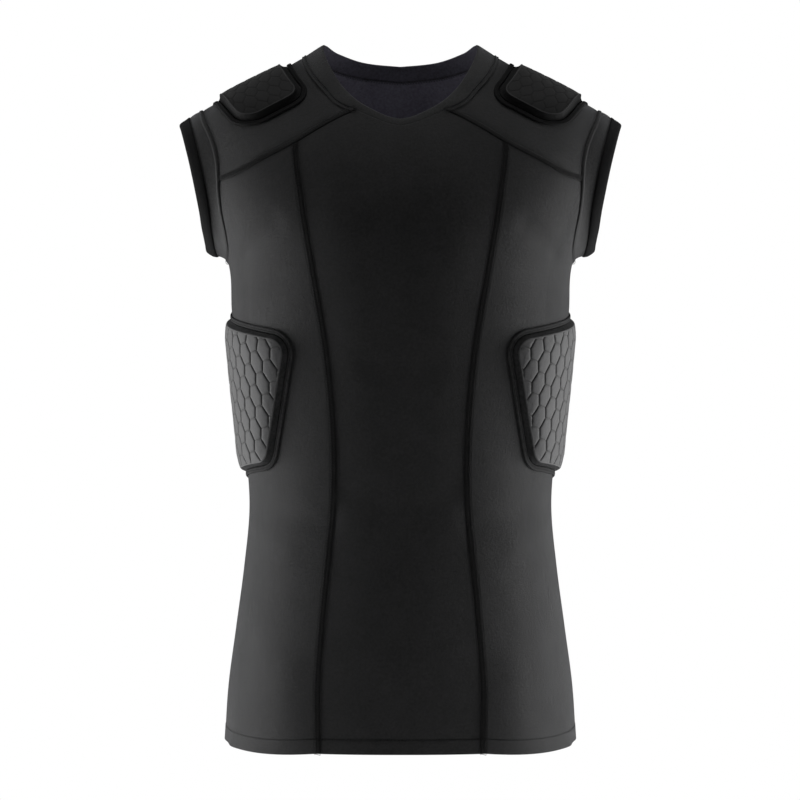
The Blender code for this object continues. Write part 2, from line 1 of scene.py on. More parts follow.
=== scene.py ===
"""Looks of a padded compression shirt, dressed over its solids.

Every panel, sleeve, band and pad is a thin shell or a moulded form that stands on the same
torso form as its solid, and it replaces that solid. The front faces -Y and +Z is up.
"""
import math

import bmesh
import bpy
import numpy as np
from bpy.props import FloatProperty, FloatVectorProperty, PointerProperty
from bpy.types import Operator, Panel, PropertyGroup
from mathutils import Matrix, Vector


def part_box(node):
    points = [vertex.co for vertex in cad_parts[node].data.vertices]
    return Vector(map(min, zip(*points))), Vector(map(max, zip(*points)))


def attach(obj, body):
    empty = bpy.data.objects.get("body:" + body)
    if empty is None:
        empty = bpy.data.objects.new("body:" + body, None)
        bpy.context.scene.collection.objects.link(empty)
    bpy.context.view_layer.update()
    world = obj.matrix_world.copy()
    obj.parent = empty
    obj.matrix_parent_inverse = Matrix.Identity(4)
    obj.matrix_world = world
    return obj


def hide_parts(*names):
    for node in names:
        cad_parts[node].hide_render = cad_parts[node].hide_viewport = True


bl_info = {
    "name": "Padded compression shirt",
    "version": (1, 0, 0),
    "blender": (4, 5, 0),
    "location": "View3D > Sidebar > Shirt",
    "description": "Cloth, pads, sewing and studio of a padded compression shirt",
    "category": "Object",
}

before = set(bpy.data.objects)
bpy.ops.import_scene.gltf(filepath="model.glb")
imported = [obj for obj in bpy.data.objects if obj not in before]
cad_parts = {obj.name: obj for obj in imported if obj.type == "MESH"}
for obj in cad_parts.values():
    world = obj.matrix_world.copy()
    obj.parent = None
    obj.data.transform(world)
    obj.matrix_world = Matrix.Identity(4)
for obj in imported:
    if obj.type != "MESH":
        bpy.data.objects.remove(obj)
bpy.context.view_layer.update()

HEM_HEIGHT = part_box("front_panel")[0].z
SIDES = (("left", 1), ("right", -1))
BODY_NAME = "root"

# Torso sections from the hem up, one row for each height.
# Columns: height, half width, front depth, back depth, squareness
BODY = np.array([
    (-0.665, 0.1713, 0.108, 0.112, 2.50),
    (-0.615, 0.1680, 0.107, 0.111, 2.45),
    (-0.556, 0.1603, 0.105, 0.107, 2.40),
    (-0.498, 0.1526, 0.103, 0.099, 2.40),
    (-0.439, 0.1474, 0.102, 0.093, 2.40),
    (-0.375, 0.1523, 0.104, 0.093, 2.40),
    (-0.310, 0.1590, 0.109, 0.098, 2.40),
    (-0.250, 0.1645, 0.115, 0.106, 2.40),
    (-0.201, 0.1685, 0.119, 0.112, 2.40),
    (-0.180, 0.1770, 0.119, 0.114, 2.40),
    (-0.155, 0.1890, 0.116, 0.115, 2.38),
    (-0.125, 0.2000, 0.109, 0.113, 2.35),
    (-0.100, 0.2060, 0.100, 0.108, 2.30),
    (-0.080, 0.2070, 0.091, 0.102, 2.25),
    (-0.064, 0.2020, 0.083, 0.096, 2.20),
    (-0.054, 0.1930, 0.078, 0.091, 2.15),
    (-0.045, 0.1775, 0.073, 0.086, 2.10),
    (-0.030, 0.1490, 0.066, 0.078, 2.05),
    (-0.015, 0.1190, 0.059, 0.070, 2.00),
    (0.000, 0.0930, 0.052, 0.062, 2.00),
    (0.012, 0.0750, 0.047, 0.056, 2.00),
    (0.030, 0.0640, 0.043, 0.052, 2.00),
])
# The neck seam and the band's free edge, round one side of the neck.
# Columns: degrees from the front, seam height, free edge height
NECK = np.array([
    (0.0, -0.0791, -0.0722),
    (7.0, -0.0768, -0.0700),
    (16.0, -0.0712, -0.0640),
    (27.0, -0.0631, -0.0545),
    (38.0, -0.0542, -0.0410),
    (50.0, -0.0368, -0.0222),
    (63.0, -0.0185, -0.0045),
    (77.0, -0.0040, 0.0080),
    (95.0, 0.0020, 0.0125),
    (120.0, -0.0040, 0.0090),
    (145.0, -0.0105, 0.0035),
    (180.0, -0.0145, 0.0004),
])
# Where the neck seam passes from one panel to the next, degrees from the front
NECK_JOINS = (-27.0, 27.0, 152.0, 208.0)
# Armhole seam from its top down the front, which the back mirrors.
# Columns: degrees from the front, height
ARMHOLE_UPPER = np.array([
    (90.0, -0.0530),
    (83.1, -0.0576),
    (75.5, -0.0775),
    (72.1, -0.0919),
    (69.4, -0.1125),
    (68.9, -0.1290),
])
ARMHOLE_LOWER = np.array([
    (68.9, -0.1290),
    (69.9, -0.1557),
    (71.5, -0.1760),
    (74.2, -0.1906),
    (78.5, -0.1990),
    (84.0, -0.2022),
    (90.0, -0.2030),
])
# Sleeve opening: a tall ring that leans out at the top
OPENING_CENTRE_HEIGHT = -0.1287
OPENING_HALF_HEIGHT = 0.0663
OPENING_FRONT_DEPTH = 0.057
OPENING_BACK_DEPTH = 0.061
# Columns: height, out from the centre
OPENING = np.array([
    (-0.1950, 0.1819),
    (-0.1770, 0.1833),
    (-0.1545, 0.1850),
    (-0.1297, 0.1889),
    (-0.1005, 0.1955),
    (-0.0770, 0.2025),
    (-0.0624, 0.2078),
])
# Long seams of the front and back, and the points that the yoke seams pass through.
# Columns: height, out from the centre
PRINCESS = np.array([
    (-0.665, 0.0770),
    (-0.598, 0.0776),
    (-0.540, 0.0734),
    (-0.476, 0.0672),
    (-0.412, 0.0625),
    (-0.350, 0.0643),
    (-0.281, 0.0714),
    (-0.230, 0.0800),
    (-0.167, 0.0906),
    (-0.138, 0.0946),
    (-0.0957, 0.0991),
])
FRONT_YOKE_INNER = np.array([(-0.0709, 0.0575), (-0.0800, 0.0735)])
FRONT_YOKE_OUTER = np.array([(-0.1114, 0.1301), (-0.1238, 0.1539)])
BACK_YOKE_INNER = np.array([(-0.0330, 0.0560), (-0.0650, 0.0790)])
BACK_YOKE_OUTER = np.array([(-0.1110, 0.1300), (-0.1230, 0.1520)])

# Corners of the rib pad. Columns: ahead of the side line, height, corner radius
RIB_PAD = np.array([
    (0.1270, -0.2740, 0.021),
    (-0.0780, -0.2360, 0.020),
    (-0.0560, -0.4185, 0.020),
    (0.0830, -0.4015, 0.024),
])
# Corners of the shoulder pad. Columns: out along the shoulder, forward, corner radius
SHOULDER_PAD = np.array([
    (0.0000, 0.0925, 0.024),
    (0.0000, -0.0700, 0.012),
    (0.0780, -0.0750, 0.026),
    (0.0862, 0.0000, 0.040),
    (0.0775, 0.0970, 0.028),
])
# Cells of each pad: pitch of the columns, pitch of the rows, slant of the rows, lean of
# the columns, share of a row that an upright side takes
RIB_CELLS = (0.0153, 0.0158, -0.535, 0.207, 0.62)
SHOULDER_CELLS = (0.0125, 0.0140, 0.0, 0.0, 0.51)
# Middle of one cell of each pad, in the columns of its corners
RIB_CELL_MIDDLE = (0.0697, -0.2915)
SHOULDER_CELL_MIDDLE = (0.0420, 0.0120)
# Height of each pad's crown, height of its edge, width of its sloping side
RIB_PAD_HEIGHTS = (0.0090, 0.0070, 0.0045)
SHOULDER_PAD_HEIGHTS = (0.0066, 0.0060, 0.0065)
SHOULDER_PAD_INNER = 0.1065
SHOULDER_PAD_BOW = 0.0200
SHOULDER_PAD_BOW_REACH = 0.080
SHOULDER_RUN = math.cos(math.radians(27))
SHOULDER_AXIS_HEIGHT = -0.160
# Tracks over the form: turn of the rib's and the shoulder's, nearest and furthest point of a
# ray from the shoulder's axis, and how often the way between them is halved
RIB_TRACK_TURN = 1.5
SHOULDER_TRACK_TURN = 1.6
SHOULDER_RAY = (0.005, 0.300)
HALVINGS = 32

# Soft troughs and ridges of the cloth, on one side of the shirt; the other is mirrored.
# Columns: start degrees and height, end degrees and height, half width, lift
CREASES = np.array([
    (66.0, -0.200, 48.0, -0.170, 0.010, -0.0016),
    (72.0, -0.222, 46.0, -0.232, 0.012, -0.0014),
    (70.0, -0.235, 52.0, -0.262, 0.009, 0.0010),
    (113.0, -0.195, 134.0, -0.175, 0.011, -0.0018),
    (108.0, -0.215, 138.0, -0.226, 0.014, -0.0015),
    (62.0, -0.436, 33.0, -0.452, 0.013, -0.0013),
    (78.0, -0.446, 50.0, -0.478, 0.011, 0.0010),
    (104.0, -0.438, 150.0, -0.452, 0.016, -0.0021),
    (112.0, -0.470, 158.0, -0.486, 0.014, -0.0016),
    (70.0, -0.560, 66.0, -0.664, 0.026, -0.0018),
    (50.0, -0.580, 47.0, -0.664, 0.024, 0.0014),
    (108.0, -0.575, 113.0, -0.664, 0.026, -0.0021),
    (130.0, -0.560, 132.0, -0.664, 0.024, 0.0016),
    (20.0, -0.300, 2.0, -0.318, 0.014, -0.0009),
    (28.0, -0.420, 6.0, -0.438, 0.015, -0.0010),
])
# Share of a crease over which it fades, its depth at its ends, its width at its start and
# how much it widens
CREASE_END = 0.22
CREASE_END_DEPTH = 0.6
CREASE_START_WIDTH = 0.7
CREASE_WIDENING = 0.6
# Edges of the even cloth round the rib pads and round the shoulder pads. Columns: axis, way
# along it that leaves the pad, place, width over which the creases start
RIB_PAD_CLEAR = ((0, -1, 0.085, 0.02), (2, 1, -0.235, 0.03), (2, -1, -0.425, 0.03),
                 (1, 1, 0.075, 0.02))
SHOULDER_PAD_CLEAR = ((2, -1, -0.105, 0.03),)

# Cloth edges, metres
TUCK = 0.0004
GROOVE_WIDTH = 0.0007
BEYOND_STRIP = 0.0003
BEYOND_WIDTH = 0.0006
SEAM_STATIONS = (0.0, 0.0004, 0.0009, 0.0015, 0.0022, 0.0027, 0.0030, 0.0034, 0.0040, 0.0046,
                 0.0051, 0.0055, 0.0060, 0.0068)
HEM_STATIONS = (0.0, 0.0004, 0.0010, 0.0040, 0.0085, 0.0122, 0.0130, 0.0135, 0.0140, 0.0150,
                0.0165)
HEM_DEPTH = 0.0135
# The hem dips between the long seam and the side line. Degrees from the front, and depth
HEM_DIP_FROM = 38.0
HEM_DIP_TO = 82.0
HEM_DIP = 0.0032
CURVE_POINTS = 400
STATION_REACH = 0.3

# Pads, metres: clearance over the cloth, how far in the face still rises, width of the
# border, spacing of an outline's points, points of a corner, smallest corner
PAD_CLEARANCE = 0.0007
PAD_CROWN_REACH = 0.016
BORDER_WIDTH = 0.005
OUTLINE_STEP = 0.004
CORNER_STEPS = 12
SMALLEST_RADIUS = 0.003
# Depth of a cell's short links, and of a groove where it meets the rim, for that of a groove; the
# same depths set how dark the painted shade in these grooves is
LINK_DEPTH = 0.60
RIM_GROOVE = 0.80
LINK_SLOPE = 0.55
SMALLEST_EDGE = 0.0006
RIM_FADE = 0.0008
CELL_EDGE_STEP = 0.0028
CELL_FILLED = 0.75
CELL_ROUND = 0.8
BACK_RINGS = (0.8, 0.55, 0.3)
# Points placed at a time
PLACING_BATCH = 1500

# Sloping side of each pad, from its face to its foot. Columns: way out, share of the
# height, tone of the face's cloth, where a tone over 1 is a painted highlight on the rim;
# the darker side cloth, which on the slope is painted shade, starts where the tone ends
RIB_PAD_SIDE = ((0.05, 0.995, 1.0), (0.14, 0.955, 1.0), (0.26, 0.85, 1.0), (0.42, 0.63, 0.0),
                (0.64, 0.33, 0.0), (0.84, 0.11, 0.0), (1.0, 0.0, 0.0))
SHOULDER_PAD_SIDE = ((0.04, 1.04, 1.8), (0.12, 1.07, 2.0), (0.22, 1.03, 2.0), (0.27, 0.90, 0.0),
                     (0.36, 0.62, 0.0), (0.52, 0.33, 0.0), (0.74, 0.12, 0.0), (1.0, 0.0, 0.0))
# A cell from its groove to its crown. Columns: way in from the groove, share of the relief
CELL_PROFILE = ((0.0004, 0.28), (0.0009, 0.72), (0.0016, 0.94), (0.0032, 1.04), (0.0052, 1.12))

# Section of a pad's border. Columns: way in from its outer edge, height
BORDER_PROFILE = ((0.0, 0.0), (0.0002, 0.0007), (0.0009, 0.0012), (0.0022, 0.0013),
                  (0.0026, 0.0010), (0.0030, 0.0013), (0.0040, 0.0012), (0.0046, 0.0008),
                  (0.0047, 0.0))

# Binding's cut, folded round the sleeve's edge. Columns: along the sleeve, out from it
BINDING_PROFILE = ((-0.0030, 0.0001), (-0.0029, 0.0008), (-0.0018, 0.0012), (0.0012, 0.0013),
                   (0.0048, 0.0013), (0.0076, 0.0010), (0.0092, 0.0004), (0.0100, -0.0006),
                   (0.0098, -0.0014), (0.0086, -0.0021), (0.0060, -0.0025), (0.0012, -0.0026),
                   (-0.0018, -0.0025), (-0.0029, -0.0022), (-0.0030, -0.0016),
                   (0.0002, -0.0016), (0.0002, 0.0001))
BINDING_CUT_WIDTH = 0.026
SEWING_LINE_STEP = 0.0015

# Threads of one stitch, in shares of its length, of the row spacing and of the thread's
# radius. Columns: start, middle, end
NEEDLE_THREADS = (((-0.40, 0.5, -0.6), (0.0, 0.5, 1.9), (0.40, 0.5, -0.6)),
                  ((-0.40, -0.5, -0.6), (0.0, -0.5, 1.9), (0.40, -0.5, -0.6)))
COVER_THREADS = (((-0.5, -0.5, 0.9), (-0.25, 0.0, 2.2), (0.0, 0.5, 0.9)),
                 ((0.0, 0.5, 0.9), (0.25, 0.0, 2.2), (0.5, -0.5, 0.9)))
THREAD_SIDES = 5
THREAD_STEPS = 3

# Knit finishes. Columns: property group, its colour, share of that colour, roughness, sheen,
# specular level, mottle
KNITS = {
    "black_knit": ("shirt_cloth", "colour", 1.0, 0.62, 0.20, 0.25, 0.9),
    "trim_knit": ("shirt_cloth", "trim", 1.0, 0.62, 0.20, 0.25, 0.9),
    "knit_inside": ("shirt_cloth", "inside", 1.0, 0.75, 0.10, 0.15, 0.4),
    # The band's inner face takes 0.55 of the inside colour: painted shade, as the band's inside
    # lies in shadow
    "band_inside": ("shirt_cloth", "inside", 0.55, 0.75, 0.06, 0.12, 0.4),
    "matt_binding": ("shirt_cloth", "binding", 1.0, 0.80, 0.02, 0.12, 0.9),
    # The pad side finishes give the borders their dark trim and, on the sloping sides, painted
    # shade
    "rib_pad_side": ("shirt_pads", "rib_side", 1.0, 0.78, 0.04, 0.16, 0.9),
    "shoulder_pad_side": ("shirt_pads", "shoulder_side", 1.0, 0.78, 0.04, 0.16, 0.9),
}
# Noise on cloth, thread and foam faces: how fine, for each metre
GRAIN = 420.0
PATCHES = 26.0
TWIST = 2600.0
FACE_GRAIN = 620.0
# Loops of the knit: rows for each column, how far a loop slants, share of its wave, height
LOOP_ROWS = 1.25
LOOP_SLANT = 1.3
LOOP_WAVE = 0.30
LOOP_HEIGHT = 0.35


def length_prop(name, description, default, low, high):
    """A length that a user may change."""
    return FloatProperty(name=name, description=description, default=default, min=low, max=high,
                         unit="LENGTH")


def factor_prop(name, description, default, low, high):
    """A plain factor that a user may change."""
    return FloatProperty(name=name, description=description, default=default, min=low, max=high,
                         subtype="FACTOR")


def power_prop(name, description, default):
    """A light's power, in watts."""
    return FloatProperty(name=name, description=description, default=default, min=0.0,
                         max=2000.0, unit="POWER")


def colour_prop(name, description, default):
    """A colour that a user may change."""
    return FloatVectorProperty(name=name, description=description, default=default,
                               subtype="COLOR", min=0.0, max=1.0)


class ShirtCloth(PropertyGroup):
    """Sizes and colours of the knit."""

    thickness: length_prop("Thickness", "Thickness of a cloth panel", 0.0012, 0.0005, 0.003)
    mesh_step: length_prop("Mesh step", "Spacing of the panels' vertices away from seams",
                           0.0048, 0.003, 0.02)
    crease_depth: factor_prop("Crease depth", "Scales the soft creases of the cloth",
                              0.85, 0.0, 3.0)
    stretch: factor_prop("Stretch", "Worn width of the knit for each width of its cut",
                         1.12, 1.0, 1.4)
    wale: length_prop("Wale pitch", "Width of one column of knit stitches",
                      0.0007, 0.0004, 0.003)
    colour: colour_prop("Knit colour", "Colour of the cloth's outer face",
                        (0.0110, 0.0110, 0.0113))
    trim: colour_prop("Trim colour", "Colour of the sleeves and of the neck band",
                      (0.0165, 0.0165, 0.0168))
    inside: colour_prop("Inside colour", "Colour of the cloth's inner face",
                        (0.125, 0.119, 0.154))
    binding: colour_prop("Binding colour", "Colour of the sleeve bindings",
                         (0.0035, 0.0035, 0.0038))


class ShirtPads(PropertyGroup):
    """Sizes and colours of the moulded pads."""

    rib_relief: length_prop("Rib cell relief", "Depth of the grooves of the rib pads",
                            0.0010, 0.0, 0.003)
    shoulder_relief: length_prop("Shoulder cell relief", "Depth of the shoulder pads' grooves",
                                 0.00028, 0.0, 0.003)
    face: colour_prop("Rib face colour", "Colour of the rib pads' cells",
                      (0.046, 0.046, 0.0475))
    cover: colour_prop("Shoulder face colour", "Colour of the shoulder pads' cells",
                       (0.0070, 0.0070, 0.0072))
    # The side colours are darker than the faces: on the borders this is the trim's own dark
    # colour, on the sloping sides it is painted shade
    rib_side: colour_prop("Rib side colour", "Colour of the rib pads' sides and borders",
                          (0.0260, 0.0260, 0.0265))
    shoulder_side: colour_prop("Shoulder side colour",
                               "Colour of the shoulder pads' sides and borders",
                               (0.0034, 0.0034, 0.0036))


class ShirtSewing(PropertyGroup):
    """Sizes and colours of the sewing."""

    pitch: length_prop("Stitch length", "Length of one stitch", 0.0026, 0.001, 0.006)
    spacing: length_prop("Row spacing", "Distance between the two needle rows of a seam",
                         0.0052, 0.001, 0.008)
    thread: length_prop("Thread radius", "Radius of the sewing thread", 0.00025, 0.00005, 0.001)
    black: colour_prop("Black thread", "Colour of the long seams' thread",
                       (0.0036, 0.0036, 0.0038))
    grey: colour_prop("Grey thread", "Colour of the thread that matches the cloth",
                      (0.0190, 0.0190, 0.0194))


class ShirtStage(PropertyGroup):
    """Camera, floor and lights."""

    distance: length_prop("Camera distance", "Camera to the middle of the shirt", 2.0, 1.0, 6.0)
    centre_height: length_prop("Camera height", "Height of the level camera", -0.336, -1.0, 1.0)
    view_width: length_prop("View width", "Width seen in the plane of the side outline",
                            0.784, 0.3, 3.0)
    floor_drop: length_prop("Floor drop", "Clear height between the hem and the floor",
                            0.55, 0.1, 3.0)
    side_power: power_prop("Side lights", "Power of each side softbox, in watts", 35.0)
    top_power: power_prop("Top light", "Power of the overhead softbox, in watts", 10.5)
    front_power: power_prop("Front light", "Power of the weak fill, in watts", 1.9)


def smooth_row(table, at):
    """Values of a table's columns at a place, on smooth curves through its rows."""
    knots = table[:, 0]
    values = table[:, 1:]
    slopes = np.gradient(values, knots, axis=0)
    at = np.clip(np.asarray(at, float), knots[0], knots[-1])
    low = np.clip(np.searchsorted(knots, at) - 1, 0, len(knots) - 2)
    span = (knots[low + 1] - knots[low])[..., None]
    t = (at - knots[low])[..., None] / span
    start = (1 + 2 * t) * (1 - t) ** 2 * values[low] + t * (1 - t) ** 2 * span * slopes[low]
    end = t ** 2 * (3 - 2 * t) * values[low + 1] + t ** 2 * (t - 1) * span * slopes[low + 1]
    return start + end


def unit(vectors):
    return vectors / np.linalg.norm(vectors, axis=-1, keepdims=True)


def turned(rows, turn):
    """Rows for the wearer's left (1) or right (-1): the first column changes its sign."""
    return rows * np.array([turn] + [1] * (rows.shape[-1] - 1))


def read_at(places, knots, values):
    """Each column of values read at places between its knots."""
    columns = [np.interp(places, knots, values[:, k]) for k in range(values.shape[1])]
    return np.stack(columns, axis=-1)


def closed(points, axis=0):
    """Points with the first one repeated at the end."""
    return np.concatenate([points, np.take(points, [0], axis=axis)], axis=axis)


def level(points):
    """Below zero inside the torso form, zero on it and above zero outside."""
    rows = smooth_row(BODY, points[..., 2])
    depth = np.where(points[..., 1] < 0, rows[..., 1], rows[..., 2])
    power = rows[..., 3]
    across = np.abs(points[..., 0] / rows[..., 0]) ** power
    return (across + np.abs(points[..., 1] / depth) ** power) ** (1 / power) - 1


def outward(points, step=2e-5):
    """Unit normals of the torso form, found from its level on each side."""
    slopes = []
    for axis in np.eye(3):
        slopes.append(level(points + step * axis) - level(points - step * axis))
    return unit(np.stack(slopes, axis=-1))


def on_form(plan):
    """Points on the form from rows of (angle from the front, height)."""
    angle = plan[..., 0]
    height = plan[..., 1]
    rows = smooth_row(BODY, height)
    depth = np.where(np.cos(angle) > 0, rows[..., 1], rows[..., 2])
    power = rows[..., 3]
    spread = np.abs(np.sin(angle) / rows[..., 0]) ** power + np.abs(np.cos(angle) / depth) ** power
    radius = spread ** (-1 / power)
    return np.stack([radius * np.sin(angle), -radius * np.cos(angle), height], axis=-1)


def plan_at(out_from_centre, height, facing):
    """Plan rows of points a given way out from the centre, facing front -1 or back 1."""
    rows = smooth_row(BODY, height)
    depth = rows[..., 1] if facing < 0 else rows[..., 2]
    power = rows[..., 3]
    y = facing * depth * (1 - (out_from_centre / rows[..., 0]) ** power) ** (1 / power)
    return np.stack([np.arctan2(out_from_centre, -y), np.broadcast_to(height, y.shape)], axis=-1)


def lengths_along(points):
    return np.concatenate([[0], np.cumsum(np.linalg.norm(np.diff(points, axis=0), axis=1))])


def resampled(plan, count=CURVE_POINTS):
    """The same run on the form with its points evenly spaced."""
    along = lengths_along(on_form(plan))
    even = np.linspace(0, along[-1], count)
    return read_at(even, along, plan)


def run_through(plan):
    """A smooth run through plan rows, with its points evenly spaced."""
    along = lengths_along(on_form(plan))
    return resampled(smooth_row(np.column_stack([along, plan]), np.linspace(0, along[-1], 800)))


def neck_runs(column):
    """Front, side and back runs of the neck seam (0) or of the band's free edge (1)."""
    runs = []
    for start, end in zip(NECK_JOINS[:-1], NECK_JOINS[1:]):
        degrees = np.linspace(start, end, CURVE_POINTS)
        folded = 180 - np.abs(180 - np.abs(degrees))
        heights = smooth_row(NECK, folded)[..., column]
        runs.append(np.stack([np.radians(degrees), heights], axis=-1))
    return runs


def to_far_side(plan):
    """A run of the wearer's left mirrored to the right, counted on past the back."""
    return turned(plan, -1) + np.array([2 * math.pi, 0])


def armhole_run(quarter):
    """A run of the armhole seam from the front, past the side line, to the back."""
    front = np.column_stack([np.radians(quarter[:, 0]), quarter[:, 1]])
    back = turned(front[::-1], -1) + np.array([math.pi, 0])
    return run_through(np.vstack([front, back[1:]]))


def make_seams():
    """Every seam of the wearer's left side as rows of (angle, height)."""
    front_centre = plan_at(PRINCESS[:, 1], PRINCESS[:, 0], -1)
    back_centre = plan_at(PRINCESS[:, 1], PRINCESS[:, 0], 1)
    armhole_lower = armhole_run(ARMHOLE_LOWER)
    neck_front, neck_side, neck_back = neck_runs(0)

    def yoke(inner, outer, facing, neck_end, centre_top, armhole_end):
        inner_rows = plan_at(inner[:, 1], inner[:, 0], facing)
        outer_rows = plan_at(outer[:, 1], outer[:, 0], facing)
        whole = np.vstack([neck_end, inner_rows, centre_top, outer_rows, armhole_end])
        along = lengths_along(on_form(whole))
        table = np.column_stack([along, whole])
        split = along[len(inner_rows) + 1]
        near = smooth_row(table, np.linspace(0, split, 300))
        far = smooth_row(table, np.linspace(split, along[-1], 300))
        return resampled(near), resampled(far)

    front_in, front_out = yoke(FRONT_YOKE_INNER, FRONT_YOKE_OUTER, -1,
                               neck_side[:1], front_centre[-1:], armhole_lower[:1])
    back_in, back_out = yoke(BACK_YOKE_INNER, BACK_YOKE_OUTER, 1,
                             neck_side[-1:], back_centre[-1:], armhole_lower[-1:])
    return {
        "front_princess": run_through(front_centre),
        "back_princess": run_through(back_centre),
        "front_yoke_in": front_in,
        "front_yoke_out": front_out,
        "back_yoke_in": back_in,
        "back_yoke_out": back_out,
        "armhole_lower": armhole_lower,
        "armhole_upper": armhole_run(ARMHOLE_UPPER[::-1]),
        "neck_side": neck_side,
        "neck_front": neck_front,
        "neck_back": neck_back,
    }


SEAMS = make_seams()


def joined_edge(*runs):
    """Runs set end to end as (share, plan) rows, the shares by length."""
    plan = np.vstack([runs[0]] + [run[1:] for run in runs[1:]])
    along = lengths_along(on_form(plan))
    return along / along[-1], plan


def stations(length, start, end, step, kept=()):
    """Shares along a length: close together at its ends, even between them."""
    near = [s for s in start if s < length * STATION_REACH]
    far = [length - s for s in end if s < length * STATION_REACH]
    first, last = max(near), min(far)
    stops = sorted([first, last] + [k * length for k in kept if first < k * length < last])
    inner = []
    for low, high in zip(stops, stops[1:]):
        inner.extend(np.linspace(low, high, max(2, round((high - low) / step) + 1)))
    return np.unique(np.round(np.concatenate([near, inner, far]), 7)) / length


def creased(points, normals, strength):
    """Lifts of the cloth from its soft creases, the same on both sides of a seam."""
    lift = np.zeros(points.shape[:-1])
    for side in (1, -1):
        for from_degrees, from_height, to_degrees, to_height, half_width, depth in CREASES:
            ends = np.radians([from_degrees, to_degrees]) * side
            start, end = on_form(np.array([[ends[0], from_height], [ends[1], to_height]]))
            run = end - start
            share = np.sum((points - start) * run, axis=-1) / np.sum(run * run)
            nearest = start + np.clip(share, 0, 1)[..., None] * run
            offset = points - nearest
            offset = offset - np.sum(offset * normals, axis=-1, keepdims=True) * normals
            distance = np.linalg.norm(offset, axis=-1)
            fade = np.clip(np.minimum(share, 1 - share) / CREASE_END + CREASE_END_DEPTH,
                           0, 1)
            widening = CREASE_WIDENING * np.clip(share, 0, 1)
            width = half_width * (CREASE_START_WIDTH + widening)
            lift += depth * strength * fade * np.exp(-(distance / width) ** 2)
    return lift * clear_of_pads(points)


def clear_of_pads(points):
    """One away from the pads and zero under and beside them, so that they lie on even cloth."""
    away = np.ones(points.shape[:-1])
    for side in (1, -1):
        near = turned(points, side)
        for edges in (RIB_PAD_CLEAR, SHOULDER_PAD_CLEAR):
            away *= np.maximum.reduce([
                np.clip(way * (near[..., axis] - place) / width, 0, 1)
                for axis, way, place, width in edges])
    return away


def distance_to_run(points, run):
    """Distance from each point to the nearest point of a run."""
    flat = points.reshape(-1, 3)
    line = run[::2]
    nearest = np.full(len(flat), np.inf)
    for chunk in np.array_split(line, 10):
        gap = np.linalg.norm(flat[:, None] - chunk[None], axis=-1).min(axis=1)
        nearest = np.minimum(nearest, gap)
    return nearest.reshape(points.shape[:-1])


def hump(distance, start, end, soften=0.0006):
    """One between two distances from a seam, falling smoothly to zero outside them."""
    rise = np.clip((distance - start) / soften, 0, 1)
    fall = np.clip((end - distance) / soften, 0, 1)
    both = np.minimum(rise, fall)
    return both * both * (3 - 2 * both)


# How the cloth lies along each kind of edge. Columns: depth of the groove at the seam,
# height of the raised strip, its nearest and furthest distance, groove beyond the strip
EDGE_KINDS = {
    "sewn_inner": (0.0002, 0.00030, 0.0004, 0.0027, 0.00080),
    "sewn_outer": (0.0002, 0.00030, 0.0004, 0.0027, 0.00015),
    "taped": (0.0007, 0.00040, 0.0008, 0.0052, 0.00025),
    "band": (0.0006, 0.00065, 0.0006, 0.0042, 0.00035),
    "plain": (0.0003, 0.0, 0.0, 0.0, 0.0),
    "smooth": (0.0001, 0.0, 0.0, 0.0, 0.0),
    "hem": (0.0, 0.00032, -0.001, HEM_DEPTH, 0.00010),
}


def seam_lift(points, edges):
    """Lifts of the cloth beside its seams."""
    lift = np.zeros(points.shape[:-1])
    for kind, run in edges:
        groove, raised, start, end, beyond = EDGE_KINDS[kind]
        distance = distance_to_run(points, run)
        lift -= groove * np.exp(-(distance / GROOVE_WIDTH) ** 2)
        if raised:
            lift += raised * hump(distance, start, end)
            past = distance - end - BEYOND_STRIP
            lift -= beyond * np.exp(-(past / BEYOND_WIDTH) ** 2)
    return lift


def facets(index):
    """Four-cornered faces of a grid of vertex numbers."""
    a, b = index[:-1, :-1], index[:-1, 1:]
    c, d = index[1:, 1:], index[1:, :-1]
    return np.stack([a, b, c, d], axis=-1).reshape(-1, 4)


def add_object(name, data):
    """A new object at the origin, linked to the scene."""
    obj = bpy.data.objects.new(name, data)
    bpy.context.collection.objects.link(obj)
    return obj


def add_mesh(name, points, faces, materials, face_slots, uv):
    """A smooth mesh object whose faces point out, with its UV in metres."""
    mesh = bpy.data.meshes.new(name)
    mesh.from_pydata(points.tolist(), [], [list(map(int, face)) for face in faces])
    for material in materials:
        mesh.materials.append(material)
    mesh.polygons.foreach_set("material_index", np.asarray(face_slots, dtype=np.int32))
    layer = mesh.uv_layers.new(name="Cloth")
    corner = np.empty(len(mesh.loops), dtype=np.int32)
    mesh.loops.foreach_get("vertex_index", corner)
    layer.data.foreach_set("uv", uv[corner].astype(np.float32).ravel())
    mesh.shade_smooth()
    shaped = bmesh.new()
    shaped.from_mesh(mesh)
    if shaped.calc_volume(signed=True) < 0:
        bmesh.ops.reverse_faces(shaped, faces=shaped.faces[:])
        shaped.to_mesh(mesh)
    shaped.free()
    return add_object(name, mesh)


def set_inputs(tree, node, values):
    """Links or sets a node's inputs."""
    for key, value in values.items():
        if isinstance(value, bpy.types.NodeSocket):
            tree.links.new(value, node.inputs[key])
        else:
            node.inputs[key].default_value = value


def add_node(tree, kind, inputs, output=0, **settings):
    """A new node with its settings and inputs; gives one of its outputs."""
    node = tree.nodes.new(kind)
    for key, value in settings.items():
        setattr(node, key, value)
    set_inputs(tree, node, inputs)
    return node.outputs[output]


def add_math(tree, operation, first, second=0.0, clamp=False):
    """A Math node on two sockets or numbers."""
    return add_node(tree, "ShaderNodeMath", {0: first, 1: second}, operation=operation,
                    use_clamp=clamp)


def scaled(tree, socket, factor, offset=0.0):
    """A socket times a factor, with an offset added."""
    product = add_math(tree, "MULTIPLY", socket, factor)
    return add_math(tree, "ADD", product, offset) if offset else product


